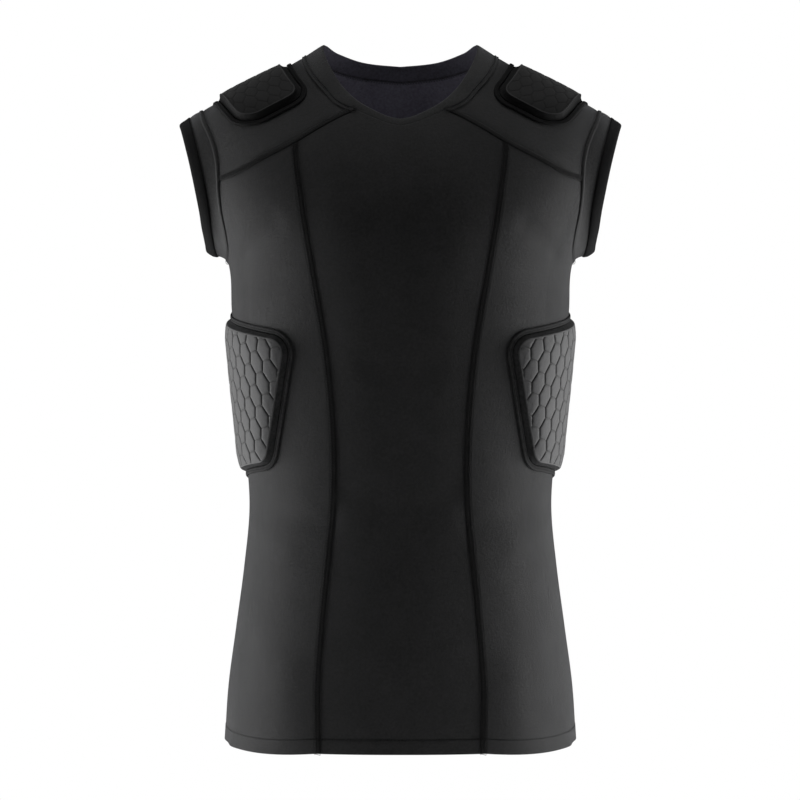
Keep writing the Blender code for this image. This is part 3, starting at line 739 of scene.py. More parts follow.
def knit_height(tree, wale):
    """Height of jersey knit: columns of small V shapes, from the piece's UV in metres."""
    place = add_node(tree, "ShaderNodeUVMap", {}, uv_map="Cloth")
    across = add_node(tree, "ShaderNodeSeparateXYZ", {0: place}, "X")
    along = across.node.outputs["Y"]
    zigzag = add_math(tree, "PINGPONG", scaled(tree, across, 1 / wale), 0.5)
    course = scaled(tree, along, LOOP_ROWS / wale)
    slanted = add_math(tree, "ADD", course, scaled(tree, zigzag, LOOP_SLANT))
    wave = add_math(tree, "SINE", scaled(tree, slanted, 2 * math.pi))
    valley = add_math(tree, "SINE", scaled(tree, zigzag, 2 * math.pi))
    return scaled(tree, add_math(tree, "ADD", scaled(tree, wave, LOOP_WAVE), valley), LOOP_HEIGHT)


def add_noise(tree, scale, detail):
    """Noise on the piece's own coordinates."""
    place = add_node(tree, "ShaderNodeTexCoord", {}, "Object")
    return add_node(tree, "ShaderNodeTexNoise",
                    {"Vector": place, "Scale": scale, "Detail": detail}, "Fac")


def toned(tree, colour, tone):
    """A colour made lighter or darker by a tone."""
    return add_node(tree, "ShaderNodeVectorMath", {0: colour, "Scale": tone}, "Vector",
                    operation="SCALE")


def bump(tree, height, distance):
    """Normals from a height."""
    return add_node(tree, "ShaderNodeBump", {"Distance": distance, "Height": height})


def finish(name, build, *settings):
    """The finish of this name, built when it is first asked for."""
    material = bpy.data.materials.get(name)
    if material is None:
        material = bpy.data.materials.new(name)
        material.use_nodes = True
        tree = material.node_tree
        build(tree, tree.nodes["Principled BSDF"], *settings)
    return material


def knit_cloth(tree, shader, colour, wale, roughness, sheen, specular, mottle):
    """Knit cloth: V stitches in the bump, a faint mottle in the colour, and sheen."""
    grain = add_math(tree, "SUBTRACT", add_noise(tree, GRAIN, 3.0), 0.5)
    patch = add_math(tree, "SUBTRACT", add_noise(tree, PATCHES, 2.0), 0.5)
    tone = add_math(tree, "ADD", scaled(tree, grain, 2.4 * mottle, 1.0),
                    scaled(tree, patch, 1.2 * mottle))
    height = add_math(tree, "ADD", knit_height(tree, wale), scaled(tree, grain, 1.6))
    set_inputs(tree, shader, {
        "Base Color": toned(tree, colour, tone),
        "Roughness": scaled(tree, grain, 0.25, roughness),
        "Normal": bump(tree, height, 0.00016),
        "Sheen Weight": sheen,
        "Sheen Roughness": 0.42,
        "Sheen Tint": (0.95, 0.96, 1.0, 1.0),
        "Specular IOR Level": specular,
    })


def knit(scene, name):
    """A knit finish from the table."""
    group, key, share, *look = KNITS[name]
    colour = [share * part for part in getattr(getattr(scene, group), key)]
    return finish(name, knit_cloth, colour, scene.shirt_cloth.wale, *look)


def twisted_thread(tree, shader, colour):
    """Twisted sewing thread."""
    twist = add_noise(tree, TWIST, 2.0)
    set_inputs(tree, shader, {
        "Base Color": (*colour, 1.0),
        "Roughness": scaled(tree, twist, 0.3, 0.45),
        "Normal": bump(tree, twist, 0.00006),
        "Specular IOR Level": 0.25,
    })


def moulded_knit(tree, shader, colour, sheen, specular):
    """Knit moulded over foam: painted shade darkens the grooves between cells, and a painted
    highlight lightens it where crown is over 1.
    """
    fine = add_noise(tree, FACE_GRAIN, 3.0)
    grain = add_math(tree, "SUBTRACT", fine, 0.5)
    crown = add_node(tree, "ShaderNodeAttribute", {}, "Fac", attribute_name="crown")
    # Painted shade: the colour falls to 0.18 of itself in the grooves, where crown is low
    shade = add_math(tree, "POWER", crown, 1.6, clamp=True)
    # Painted highlight: crown over 1 along the shoulder pads' rim lightens the colour
    rim = add_math(tree, "SUBTRACT", crown, 1.0, clamp=True)
    tone = add_math(tree, "ADD", scaled(tree, shade, 0.82, 0.18), scaled(tree, rim, 2.6))
    tone = add_math(tree, "MULTIPLY", tone, add_math(tree, "ADD", grain, 1.0))
    set_inputs(tree, shader, {
        "Base Color": toned(tree, colour, tone),
        "Roughness": scaled(tree, grain, 0.3, 0.66),
        "Normal": bump(tree, fine, 0.00009),
        "Sheen Weight": sheen,
        "Sheen Roughness": 0.5,
        "Specular IOR Level": specular,
    })


def dress(obj, node):
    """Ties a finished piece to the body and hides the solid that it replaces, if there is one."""
    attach(obj, BODY_NAME)
    if node:
        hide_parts(node)
    return obj


def shell(name, surface, normals, lift, crease, thickness, materials, uv_size):
    """A closed cloth wall from a grid: lifted outer face, even inner face and rims."""
    rows, columns = surface.shape[:2]
    outer = surface + (lift + crease)[..., None] * normals
    inner = pulled_in(surface, normals, -TUCK) + (crease - thickness)[..., None] * normals
    front = np.arange(rows * columns).reshape(rows, columns)
    back = front + rows * columns
    outside = facets(front)
    inside = facets(back)[:, ::-1]
    loop = np.concatenate([front[0, :-1], front[:-1, -1], front[-1, :0:-1], front[:0:-1, 0]])
    after = np.roll(loop, -1)
    rim = np.stack([loop, loop + rows * columns, after + rows * columns, after], axis=-1)
    faces = np.vstack([outside, inside, rim])
    slots = np.concatenate([
        np.zeros(len(outside), int), np.ones(len(inside), int), np.zeros(len(rim), int)])
    uv = np.vstack([uv_size.reshape(-1, 2)] * 2)
    points = np.vstack([outer.reshape(-1, 3), inner.reshape(-1, 3)])
    return add_mesh(name, points, faces, materials, slots, uv), outer


def pulled_in(points, normals, distance):
    """A grid whose edges are drawn back from their seams."""
    moved = points.copy()

    def edge(line, normal, inner):
        run = unit(np.gradient(line, axis=0))
        inward = unit(np.cross(normal, run))
        side = np.sign(np.sum(inward * (inner - line), axis=-1, keepdims=True))
        return inward * side * distance

    moved[0] += edge(points[0], normals[0], points[1])
    moved[-1] += edge(points[-1], normals[-1], points[-2])
    moved[:, 0] += edge(points[:, 0], normals[:, 0], points[:, 1])
    moved[:, -1] += edge(points[:, -1], normals[:, -1], points[:, -2])
    return moved


def cloth_grid(bottom, top, left, right, step, low_stations=SEAM_STATIONS, kept=()):
    """Plan grid between four edges, close at the seams, and its UV in metres."""
    width = lengths_along(on_form(bottom[1]))[-1]
    width = max(width, lengths_along(on_form(top[1]))[-1])
    length = lengths_along(on_form(left[1]))[-1]
    across = stations(width, SEAM_STATIONS, SEAM_STATIONS, step, kept)
    along = stations(length, low_stations, SEAM_STATIONS, step)
    low, high = read_at(across, *bottom), read_at(across, *top)
    near, far = read_at(along, *left), read_at(along, *right)
    u = across[None, :, None]
    v = along[:, None, None]
    blend_low = (1 - u) * low[0] + u * low[-1]
    blend_high = (1 - u) * high[0] + u * high[-1]
    plan = (1 - v) * low[None] + v * high[None] + (1 - u) * near[:, None] + u * far[:, None]
    plan = plan - (1 - v) * blend_low - v * blend_high
    uv = np.stack(np.broadcast_arrays(across[None] * width, along[:, None] * length), axis=-1)
    return plan, uv


def make_panel(scene, name, node, grid, edges, turn=1):
    """One cloth panel with its seams and creases."""
    cloth = scene.shirt_cloth
    plan, uv = grid
    surface = on_form(turned(plan, turn))
    normals = outward(surface)
    runs = [(kind, on_form(turned(run, turn))) for kind, run in edges]
    lift = seam_lift(surface, runs)
    crease = creased(surface, normals, cloth.crease_depth)
    panel, outer = shell(name, surface, normals, lift, crease, cloth.thickness,
                         [knit(scene, "black_knit"), knit(scene, "knit_inside")], uv)
    dress(panel, node)


def hem_run(start, end, count=CURVE_POINTS):
    """The hem as rows of (angle, height), a little lower towards each side."""
    angles = np.linspace(start, end, count)
    folded = np.degrees(np.pi - np.abs(np.pi - np.abs(angles)))
    share = np.clip((folded - HEM_DIP_FROM) / (HEM_DIP_TO - HEM_DIP_FROM), 0, 1)
    return np.stack([angles, HEM_HEIGHT - HEM_DIP * np.sin(math.pi * share)], axis=-1)


def share_of(edge, angle_height):
    """Share of an edge at which it passes a plan point."""
    points = on_form(edge[1])
    return edge[0][np.linalg.norm(points - on_form(angle_height), axis=-1).argmin()]


def hung_panel(left, right, top_runs, middle_run, step):
    """Grid of a panel from the hem up to its top runs, and the run of its hem."""
    top = joined_edge(*top_runs)
    hem = joined_edge(hem_run(left[0, 0], right[0, 0]))
    kept = [share_of(top, middle_run[0]), share_of(top, middle_run[-1])]
    grid = cloth_grid(hem, top, joined_edge(left), joined_edge(right), step, HEM_STATIONS, kept)
    return grid, hem[1]


class SHIRT_OT_panels(Operator):
    """Front, back and side panels and the shoulder yokes"""

    bl_idname = "shirt.panels"
    bl_label = "Panels"

    # Columns: panel, how the cloth lies along its neck edge
    CENTRES = (("front", "smooth"), ("back", "band"))

    def execute(self, context):
        scene = context.scene
        step = scene.shirt_cloth.mesh_step
        for name, neck_kind in self.CENTRES:
            left, right = self.both_sides(name, SEAMS[name + "_princess"])
            near, far = self.both_sides(name, SEAMS[name + "_yoke_in"])
            neck = SEAMS["neck_" + name]
            grid, hem = hung_panel(left, right, (near[::-1], neck, far), neck, step)
            edges = [("sewn_inner", left), ("sewn_inner", right), (neck_kind, neck),
                     ("plain", near), ("plain", far), ("hem", hem)]
            make_panel(scene, name + "_panel_cloth", name + "_panel", grid, edges)

        left, right = SEAMS["front_princess"], SEAMS["back_princess"]
        front_out, back_out = SEAMS["front_yoke_out"], SEAMS["back_yoke_out"]
        armhole = SEAMS["armhole_lower"]
        grid, hem = hung_panel(left, right, (front_out, armhole, back_out[::-1]), armhole, step)
        edges = [("sewn_outer", left), ("sewn_outer", right), ("plain", front_out),
                 ("plain", back_out), ("plain", armhole), ("hem", hem)]
        front = joined_edge(SEAMS["front_yoke_in"], front_out)
        back = joined_edge(SEAMS["back_yoke_in"], back_out)
        neck, upper = SEAMS["neck_side"], SEAMS["armhole_upper"]
        yoke_grid = cloth_grid(front, back, joined_edge(neck), joined_edge(upper), step)
        yoke_edges = [("taped", front[1]), ("taped", back[1]), ("band", neck), ("plain", upper)]
        for side_name, turn in SIDES:
            make_panel(scene, "side_panel_cloth_" + side_name, "side_panel_" + side_name,
                       grid, edges, turn)
            make_panel(scene, "shoulder_yoke_cloth_" + side_name, "shoulder_yoke_" + side_name,
                       yoke_grid, yoke_edges, turn)
        return {"FINISHED"}

    def both_sides(self, name, run):
        """A seam and its mirror image, in the order of growing angle."""
        return (turned(run, -1), run) if name == "front" else (run, to_far_side(run))


def ring_shell(name, rings, materials, ring_slots, uv_lengths):
    """A closed band from rings of points, one ring for each point of its profile."""
    profile, around = rings.shape[:2]
    index = np.arange(profile * around).reshape(profile, around)
    beside = np.roll(index, -1, axis=0)
    ahead = np.roll(index, -1, axis=1)
    far = np.roll(beside, -1, axis=1)
    faces = np.stack([index, ahead, far, beside], axis=-1).reshape(-1, 4)
    slots = np.repeat(ring_slots, around)
    girth = np.linalg.norm(np.diff(rings[0], axis=0), axis=-1).sum()
    turn = np.broadcast_to(np.linspace(0, girth, around)[None], (profile, around))
    length = np.broadcast_to(np.asarray(uv_lengths)[:, None], (profile, around))
    uv = np.stack([turn, length], axis=-1).reshape(-1, 2)
    return add_mesh(name, rings.reshape(-1, 3), faces, materials, slots, uv)


class SHIRT_OT_neck_band(Operator):
    """The folded band round the neck"""

    bl_idname = "shirt.neck_band"
    bl_label = "Neck band"

    THICKNESS = 0.0019
    AROUND = 360
    FOLD_RISE = 0.0005
    FOLD_LENGTH = 0.001
    INNER_FOLLOWS = 0.8
    # Columns: share of the way from the seam to the free edge, lift
    PROFILE = ((0.0, -0.0001), (0.05, 0.0000), (0.12, 0.0001), (0.25, 0.0002), (0.45, 0.0003),
               (0.70, 0.0003), (0.88, 0.0001), (0.96, -0.0002), (1.0, -0.0006))

    def execute(self, context):
        scene = context.scene
        low, high = self.ring(0), self.ring(1)
        along = lengths_along(on_form(low))
        even = np.linspace(0, along[-1], self.AROUND + 1)[:-1]
        low, high = read_at(even, along, low), read_at(even, along, high)
        rise = on_form(high) - on_form(low)
        up = unit(rise)
        width = np.linalg.norm(rise, axis=-1).mean()
        outer, inner, lengths = [], [], []
        for share, lift in self.PROFILE:
            surface = on_form((1 - share) * low + share * high)
            normals = outward(surface)
            outer.append(surface + lift * normals)
            lengths.append(share * width)
            deeper = -self.THICKNESS - min(lift, 0) * self.INNER_FOLLOWS
            tuck = up * TUCK if share == 0 else 0.0
            inner.append(surface + deeper * normals - tuck)
        fold = (outer[-1] + inner[-1]) / 2 + up * self.FOLD_RISE
        rings = np.stack(outer + [fold] + inner[::-1])
        top = width + self.FOLD_LENGTH
        lengths = lengths + [top] + [top + self.FOLD_LENGTH + s for s in lengths]
        slots = [0] * len(outer) + [1] * (len(rings) - len(outer))
        # The band's inner finish is the inside colour darkened as painted shade
        finishes = [knit(scene, "trim_knit"), knit(scene, "band_inside")]
        band = ring_shell("neck_band_cloth", rings, finishes, slots, lengths)
        dress(band, "neck_band")
        return {"FINISHED"}

    def ring(self, column):
        """The neck seam (0) or the band's free edge (1), all the way round."""
        front, side, back = neck_runs(column)
        return np.vstack([front, side[1:], back[1:], to_far_side(side)[::-1][1:]])


def sleeve_frame(around=240):
    """Armhole ring, opening ring, and the sleeve's way out and its normals there."""
    plan = np.vstack([SEAMS["armhole_upper"][::-1], SEAMS["armhole_lower"][1:-1]])
    points = on_form(closed(plan))
    along = lengths_along(points)
    even = np.linspace(0, along[-1], around + 1)[:-1]
    start = read_at(even, along, points)
    angle = np.arctan2(-start[:, 1], start[:, 2] - OPENING_CENTRE_HEIGHT)
    depth = np.where(np.sin(angle) > 0, OPENING_FRONT_DEPTH, OPENING_BACK_DEPTH)
    height = OPENING_CENTRE_HEIGHT + OPENING_HALF_HEIGHT * np.cos(angle)
    out = smooth_row(OPENING, height)[..., 0]
    end = np.stack([out, -depth * np.sin(angle), height], axis=-1)
    way = unit(end - start)
    ring = unit(np.roll(end, -1, axis=0) - np.roll(end, 1, axis=0))
    normal = unit(np.cross(ring, way))
    middle = end.mean(axis=0)
    normal *= np.sign(np.sum(normal * (end - middle), axis=-1, keepdims=True))
    return start, end, way, normal


class SHIRT_OT_sleeves(Operator):
    """Cap sleeves and the narrow bindings on their openings"""

    bl_idname = "shirt.sleeves"
    bl_label = "Sleeves"

    TOP_SWELL = 0.0015
    FOOT_SWELL = -0.0025
    THICKNESS = 0.0014
    # Raised strip beside the armhole seam: its height, nearest and furthest distance
    SEAM_RIDGE = (0.0009, 0.0006, 0.0040)
    SEAM_GROOVE = 0.0004
    SEAM_GROOVE_WIDTH = 0.0006
    NEAR_SEAM = (0.0, 0.0004, 0.0008, 0.0013, 0.0020, 0.0028, 0.0034, 0.0040, 0.0047)
    FURTHER_ROWS = 10
    INSIDE_UV_START = 0.05

    def execute(self, context):
        scene = context.scene
        start, end, way, normal = sleeve_frame()
        length = np.linalg.norm(end - start, axis=-1)[:, None]
        height = (OPENING_CENTRE_HEIGHT + OPENING_HALF_HEIGHT - end[:, 2:]) / OPENING_HALF_HEIGHT
        swell = self.TOP_SWELL + (self.FOOT_SWELL - self.TOP_SWELL) * height / 2
        distances = [np.full_like(length, near) for near in self.NEAR_SEAM]
        last = self.NEAR_SEAM[-1]
        for share in np.linspace(0, 1, self.FURTHER_ROWS + 1)[1:]:
            distances.append(last + (length - last) * share)
        outer, inner, lengths = [], [], []
        ridge_height, ridge_start, ridge_end = self.SEAM_RIDGE
        for distance in distances:
            share = distance / length
            bow = 4 * share * (1 - share) * swell
            ridge = ridge_height * hump(distance, ridge_start, ridge_end)
            groove = self.SEAM_GROOVE * np.exp(-(distance / self.SEAM_GROOVE_WIDTH) ** 2)
            base = (1 - share) * start + share * end
            outer.append(base + (bow + ridge - groove) * normal)
            tuck = TUCK * way if len(outer) == 1 else 0.0
            inner.append(base + (bow - self.THICKNESS) * normal - tuck)
            lengths.append(float(distance.mean()))
        rings = np.stack(outer + inner[::-1])
        uv_lengths = lengths + [self.INSIDE_UV_START + s for s in lengths[::-1]]
        slots = [0] * len(outer) + [1] * len(inner)
        binding = []
        for along, out in BINDING_PROFILE:
            share = np.minimum(1 + along / length, 1)
            bow = 4 * share * (1 - share) * swell
            binding.append(end + way * along + normal * (out + bow))
        binding = np.stack(binding)
        turns = np.linspace(0, BINDING_CUT_WIDTH, len(binding))
        for side_name, turn in SIDES:
            sleeve = ring_shell("sleeve_cloth_" + side_name, turned(rings, turn),
                                [knit(scene, "trim_knit"), knit(scene, "knit_inside")],
                                slots, uv_lengths)
            dress(sleeve, "sleeve_" + side_name)
            strip = ring_shell("sleeve_binding_cloth_" + side_name, turned(binding, turn),
                               [knit(scene, "matt_binding")], [0] * len(binding), turns)
            dress(strip, "sleeve_binding_" + side_name)
        return {"FINISHED"}


def rounded_outline(corners, inset):
    """Outline with rounded corners, drawn in by an inset; its points keep their count."""
    count = len(corners)
    full = []
    drawn_in = []
    for i in range(count):
        here = corners[i, :2]
        before = unit(here - corners[i - 1, :2])
        after = unit(corners[(i + 1) % count, :2] - here)
        turn = math.atan2(before[0] * after[1] - before[1] * after[0], before @ after)
        bisector = unit(after - before) / math.cos(turn / 2)
        first = math.atan2(-before[0], before[1])
        angles = first + turn * np.linspace(0, 1, CORNER_STEPS + 1)
        round_corner = np.column_stack([np.cos(angles), np.sin(angles)])
        radius = corners[i, 2]
        full.append(here + bisector * radius + radius * round_corner)
        radius = max(radius - inset, SMALLEST_RADIUS)
        drawn_in.append(here + bisector * (inset + radius) + radius * round_corner)
    points = []
    for i in range(count):
        points.extend(drawn_in[i])
        leave = drawn_in[i][-1]
        arrive = drawn_in[(i + 1) % count][0]
        straight = np.linalg.norm(full[(i + 1) % count][0] - full[i][-1])
        steps = max(1, round(straight / OUTLINE_STEP))
        for step in range(1, steps):
            points.append(leave + (arrive - leave) * step / steps)
    return np.array(points)


def depth_inside(points, outline):
    """How far points lie inside a convex outline."""
    run = unit(np.roll(outline, -1, axis=0) - outline)
    normal = np.stack([-run[:, 1], run[:, 0]], axis=-1)
    return np.min(np.einsum("pij,ij->pi", points[:, None] - outline[None], normal), axis=1)


def cell_net(outline, middle, cell_sizes):
    """Flat net of six-sided cells, cut to an outline, with its edges split finely."""
    pitch, row_pitch, slant, lean, upright = cell_sizes
    net = bmesh.new()
    corners = {}

    def corner(column, row, side):
        key = (column, row, side)
        if key not in corners:
            x = column * pitch / 2
            y = row_pitch * (row + side * upright / 2) + slant * x
            corners[key] = net.verts.new((middle[0] + x + lean * y, middle[1] + y, 0))
        return corners[key]

    reach = np.abs(outline - middle).max(axis=0)
    columns = math.ceil((reach[0] + abs(lean) * reach[1]) / pitch) + 3
    rows = math.ceil((reach[1] + abs(slant) * reach[0]) / row_pitch) + 4
    for row in range(-rows, rows + 1):
        for step in range(-columns, columns + 1):
            column = 2 * step + row % 2
            net.faces.new([
                corner(column, row - 1, 1),
                corner(column + 1, row, -1),
                corner(column + 1, row, 1),
                corner(column, row + 1, -1),
                corner(column - 1, row, 1),
                corner(column - 1, row, -1),
            ])
    for start, end in zip(outline, np.roll(outline, -1, axis=0)):
        run = end - start
        everything = net.verts[:] + net.edges[:] + net.faces[:]
        bmesh.ops.bisect_plane(net, geom=everything, plane_co=(*start, 0),
                               plane_no=(run[1], -run[0], 0), clear_outer=True)
    bmesh.ops.remove_doubles(net, verts=net.verts[:], dist=SMALLEST_EDGE)
    for edge in list(net.edges):
        cuts = round(edge.calc_length() / CELL_EDGE_STEP) - 1
        if cuts > 0:
            bmesh.ops.subdivide_edges(net, edges=[edge], cuts=cuts)
    loose = [vert for vert in net.verts if not vert.link_faces]
    bmesh.ops.delete(net, geom=loose, context="VERTS")
    net.verts.index_update()
    flat = np.array([vert.co[:2] for vert in net.verts])
    grooves = np.ones(len(flat))
    for vert in net.verts:
        runs = [edge.other_vert(vert).co - vert.co for edge in vert.link_edges]
        if all(abs(run.y) < LINK_SLOPE * abs(run.x) for run in runs):
            grooves[vert.index] = LINK_DEPTH
    at_rim = np.zeros(len(flat))
    for vert in net.verts:
        inner = [edge.other_vert(vert).index for edge in vert.link_edges if not edge.is_boundary]
        if vert.is_boundary and inner:
            at_rim[vert.index] = RIM_GROOVE * grooves[inner].min()
    cells = [[vert.index for vert in face.verts] for face in net.faces]
    rim = {}
    for edge in net.edges:
        if len(edge.link_loops) == 1:
            loop = edge.link_loops[0]
            rim[loop.vert.index] = loop.link_loop_next.vert.index
    net.free()
    start = next(iter(rim))
    ring = [start]
    while rim[ring[-1]] != start:
        ring.append(rim[ring[-1]])
    return flat, grooves, at_rim, cells, ring


def polygon_area(corners):
    """Area of a flat polygon."""
    x, y = corners.T
    return abs(np.sum(x * np.roll(y, -1) - y * np.roll(x, -1))) / 2


class PadMesh:
    """A pad's mesh as it grows: flat points with a height, their crown tone of painted shade and
    highlight, and faces.
    """

    def __init__(self, flat, heights, crown):
        self.rows = [np.column_stack([flat, heights])]
        self.crown = [crown]
        self.faces = []
        self.slots = []
        self.total = len(flat)

    def add_points(self, spots, heights, crown):
        """New points; gives their numbers."""
        count = len(spots)
        self.rows.append(np.column_stack([spots, np.broadcast_to(heights, count)]))
        self.crown.append(np.broadcast_to(crown, count))
        self.total += count
        return list(range(self.total - count, self.total))

    def join(self, last, here, slot, outwards):
        """Faces between two rings, or between a ring and one point."""
        for k in range(len(last)):
            after = (k + 1) % len(last)
            ends = [here[after], here[k]] if len(here) > 1 else here
            face = [last[k], last[after], *ends]
            self.faces.append([face[0], *face[:0:-1]] if outwards else face)
            self.slots.append(slot)
        return here

    def raise_cell(self, cell, flat, rim_depth, crown_at, relief):
        """One cell from its grooves up to its crown."""
        edge = flat[cell]
        centre = edge.mean(axis=0)
        spread = np.linalg.norm(edge - centre, axis=1)
        reach = math.sqrt(polygon_area(edge - centre) / math.pi)
        last = cell
        for way_in, share in CELL_PROFILE:
            if way_in > reach * CELL_FILLED:
                break
            shrink = 1 - way_in / np.maximum(spread, reach * CELL_ROUND)
            spots = centre + (edge - centre) * shrink[:, None]
            heights = crown_at(spots) - relief * (1 - share) * rim_depth[cell]
            # Crown tone: painted shade in the groove, rising to 1 up the cell's side
            crown = np.maximum(1 - rim_depth[cell], min(share, 1.0))
            last = self.join(last, self.add_points(spots, heights, crown), 0, False)
        top = crown_at(centre[None]) + relief * (CELL_PROFILE[-1][1] - 1)
        self.join(last, self.add_points(centre[None], top, 1.0), 0, False)


def make_pad(name, node, shape, place, finishes):
    """A moulded foam pad: soft-edged cells, a rounded rim and a sloping side; painted shade
    darkens the grooves and the side, and a painted highlight lights the shoulder rim.
    """
    corners, heights, cell_sizes, cell_middle, side_profile, relief = shape
    crown_height, edge_height, slope_width = heights
    face_outline = rounded_outline(corners, BORDER_WIDTH + slope_width)
    foot_outline = rounded_outline(corners, BORDER_WIDTH)
    middle = face_outline.mean(axis=0)
    flat, grooves, at_rim, cells, ring = cell_net(face_outline, np.array(cell_middle),
                                                  cell_sizes)

    def crown_at(spots):
        inside = np.clip(depth_inside(spots, face_outline) / PAD_CROWN_REACH, 0, 1)
        return edge_height + (crown_height - edge_height) * (1 - (1 - inside) ** 2)

    # rim_depth both sinks the grooves and, through the crown tone, paints shade into them
    rim_depth = np.clip(depth_inside(flat, face_outline) / RIM_FADE, 0, 1) * grooves
    rim_depth = np.maximum(rim_depth, at_rim)
    shaped = PadMesh(flat, crown_at(flat) - relief * rim_depth, 1 - rim_depth)
    for cell in cells:
        shaped.raise_cell(cell, flat, rim_depth, crown_at, relief)
    around = flat[ring]
    run = unit(np.roll(around, -1, axis=0) - np.roll(around, 1, axis=0))
    away = np.stack([run[:, 1], -run[:, 0]], axis=-1) * depth_inside(around, foot_outline)[:, None]
    last = ring
    # A tone over 1 paints a highlight on the rim; where the tone is zero the darker side finish,
    # painted shade on the slope, takes over
    for way_out, share, tone in side_profile:
        height = PAD_CLEARANCE + (edge_height - PAD_CLEARANCE) * share
        here = shaped.add_points(around + away * way_out, height, tone)
        last = shaped.join(last, here, 0 if tone else 1, True)
    for inset_share in BACK_RINGS:
        spots = middle + (around + away - middle) * inset_share
        last = shaped.join(last, shaped.add_points(spots, PAD_CLEARANCE, 1.0), 1, True)
    shaped.join(last, shaped.add_points(middle[None], PAD_CLEARANCE, 1.0), 1, True)
    rows = np.vstack(shaped.rows)
    pad = add_mesh(name, place(rows), shaped.faces, finishes, shaped.slots, rows[:, :2])
    # The crown attribute carries the painted groove shade and rim highlight to the face finish
    crown = pad.data.attributes.new("crown", "FLOAT", "POINT")
    crown.data.foreach_set("value", np.concatenate(shaped.crown).astype(np.float32))
    dress(pad, node)


def make_border(name, node, corners, place, side):
    """The flat sewn border round a pad, its edges rounded."""
    rings, lengths = [], []
    for inset, height in BORDER_PROFILE:
        outline = rounded_outline(corners, inset)
        lift = np.full(len(outline), PAD_CLEARANCE + height)
        rings.append(place(np.column_stack([outline, lift])))
        lengths.append(inset + height)
    border = ring_shell(name, np.stack(rings), [side], [0] * len(rings), lengths)
    dress(border, node)


def along_tracks(track):
    """Length along each row of a grid of points."""
    steps = np.linalg.norm(np.diff(track, axis=1), axis=-1)
    return np.concatenate([np.zeros((len(track), 1)), np.cumsum(steps, axis=1)], axis=1)


def place_on_rib(plan):
    """Points over the side of the torso from (ahead of the side line, height, lift)."""
    heights = plan[:, 1]
    placed = np.empty((len(plan), 3))
    forward = plan[:, 0] > 0
    for facing, chosen in ((-1, forward), (1, ~forward)):
        angles = np.linspace(math.pi / 2, math.pi / 2 + facing * RIB_TRACK_TURN, 240)
        pairs = np.stack(np.broadcast_arrays(angles[None], heights[chosen][:, None]), axis=-1)
        along = along_tracks(on_form(pairs))
        ahead = np.abs(plan[chosen, 0])
        angle = np.array([np.interp(a, row, angles) for a, row in zip(ahead, along)])
        placed[chosen] = on_form(np.stack([angle, heights[chosen]], axis=-1))
    return placed + plan[:, 2:] * outward(placed)


def place_on_shoulder(plan):
    """Points over the shoulder from (out along it, forward over it, lift)."""
    bow = SHOULDER_PAD_BOW * (plan[:, 1] / SHOULDER_PAD_BOW_REACH) ** 2
    out = SHOULDER_PAD_INNER + plan[:, 0] * SHOULDER_RUN - bow
    angles = np.sign(plan[:, 1])[:, None] * np.linspace(0, SHOULDER_TRACK_TURN, 100)[None]
    low = np.full(angles.shape, SHOULDER_RAY[0])
    high = np.full(angles.shape, SHOULDER_RAY[1])

    def along_ray(radius):
        y = -radius * np.sin(angles)
        z = SHOULDER_AXIS_HEIGHT + radius * np.cos(angles)
        return np.stack([np.broadcast_to(out[:, None], y.shape), y, z], axis=-1)

    for _ in range(HALVINGS):
        middle = (low + high) / 2
        inside = level(along_ray(middle)) < 0
        low = np.where(inside, middle, low)
        high = np.where(inside, high, middle)
    track = along_ray(low)
    reaches = zip(np.abs(plan[:, 1]), along_tracks(track), track)
    placed = np.array([read_at(reach, along, line) for reach, along, line in reaches])
    return placed + plan[:, 2:] * outward(placed)


def make_pair(kind, shape, place, face, side):
    """The left and right pad of a kind, with their borders."""
    for side_name, turn in SIDES:
        def settle(plan, turn=turn):
            starts = range(0, len(plan), PLACING_BATCH)
            return turned(np.vstack([place(plan[k:k + PLACING_BATCH]) for k in starts]), turn)

        make_pad(f"{kind}_pad_foam_{side_name}", f"{kind}_pad_{side_name}", shape,
                 settle, [face, side])
        make_border(f"{kind}_pad_edging_{side_name}", f"{kind}_pad_border_{side_name}",
                    shape[0], settle, side)


class SHIRT_OT_rib_pads(Operator):
    """Rib pads with their borders"""

    bl_idname = "shirt.rib_pads"
    bl_label = "Rib pads"

    SHEEN = 0.35
    SPECULAR = 0.35

    def execute(self, context):
        pads = context.scene.shirt_pads
        face = finish("rib_pad_face", moulded_knit, pads.face, self.SHEEN, self.SPECULAR)
        side = knit(context.scene, "rib_pad_side")
        shape = (RIB_PAD, RIB_PAD_HEIGHTS, RIB_CELLS, RIB_CELL_MIDDLE, RIB_PAD_SIDE,
                 pads.rib_relief)
        make_pair("rib", shape, place_on_rib, face, side)
        return {"FINISHED"}


class SHIRT_OT_shoulder_pads(Operator):
    """Shoulder pads with their borders"""

    bl_idname = "shirt.shoulder_pads"
    bl_label = "Shoulder pads"

    SHEEN = 0.08
    SPECULAR = 0.16

    def execute(self, context):
        pads = context.scene.shirt_pads
        face = finish("shoulder_pad_face", moulded_knit, pads.cover, self.SHEEN, self.SPECULAR)
        side = knit(context.scene, "shoulder_pad_side")
        shape = (SHOULDER_PAD, SHOULDER_PAD_HEIGHTS, SHOULDER_CELLS, SHOULDER_CELL_MIDDLE,
                 SHOULDER_PAD_SIDE, pads.shoulder_relief)
        make_pair("shoulder", shape, place_on_shoulder, face, side)
        return {"FINISHED"}


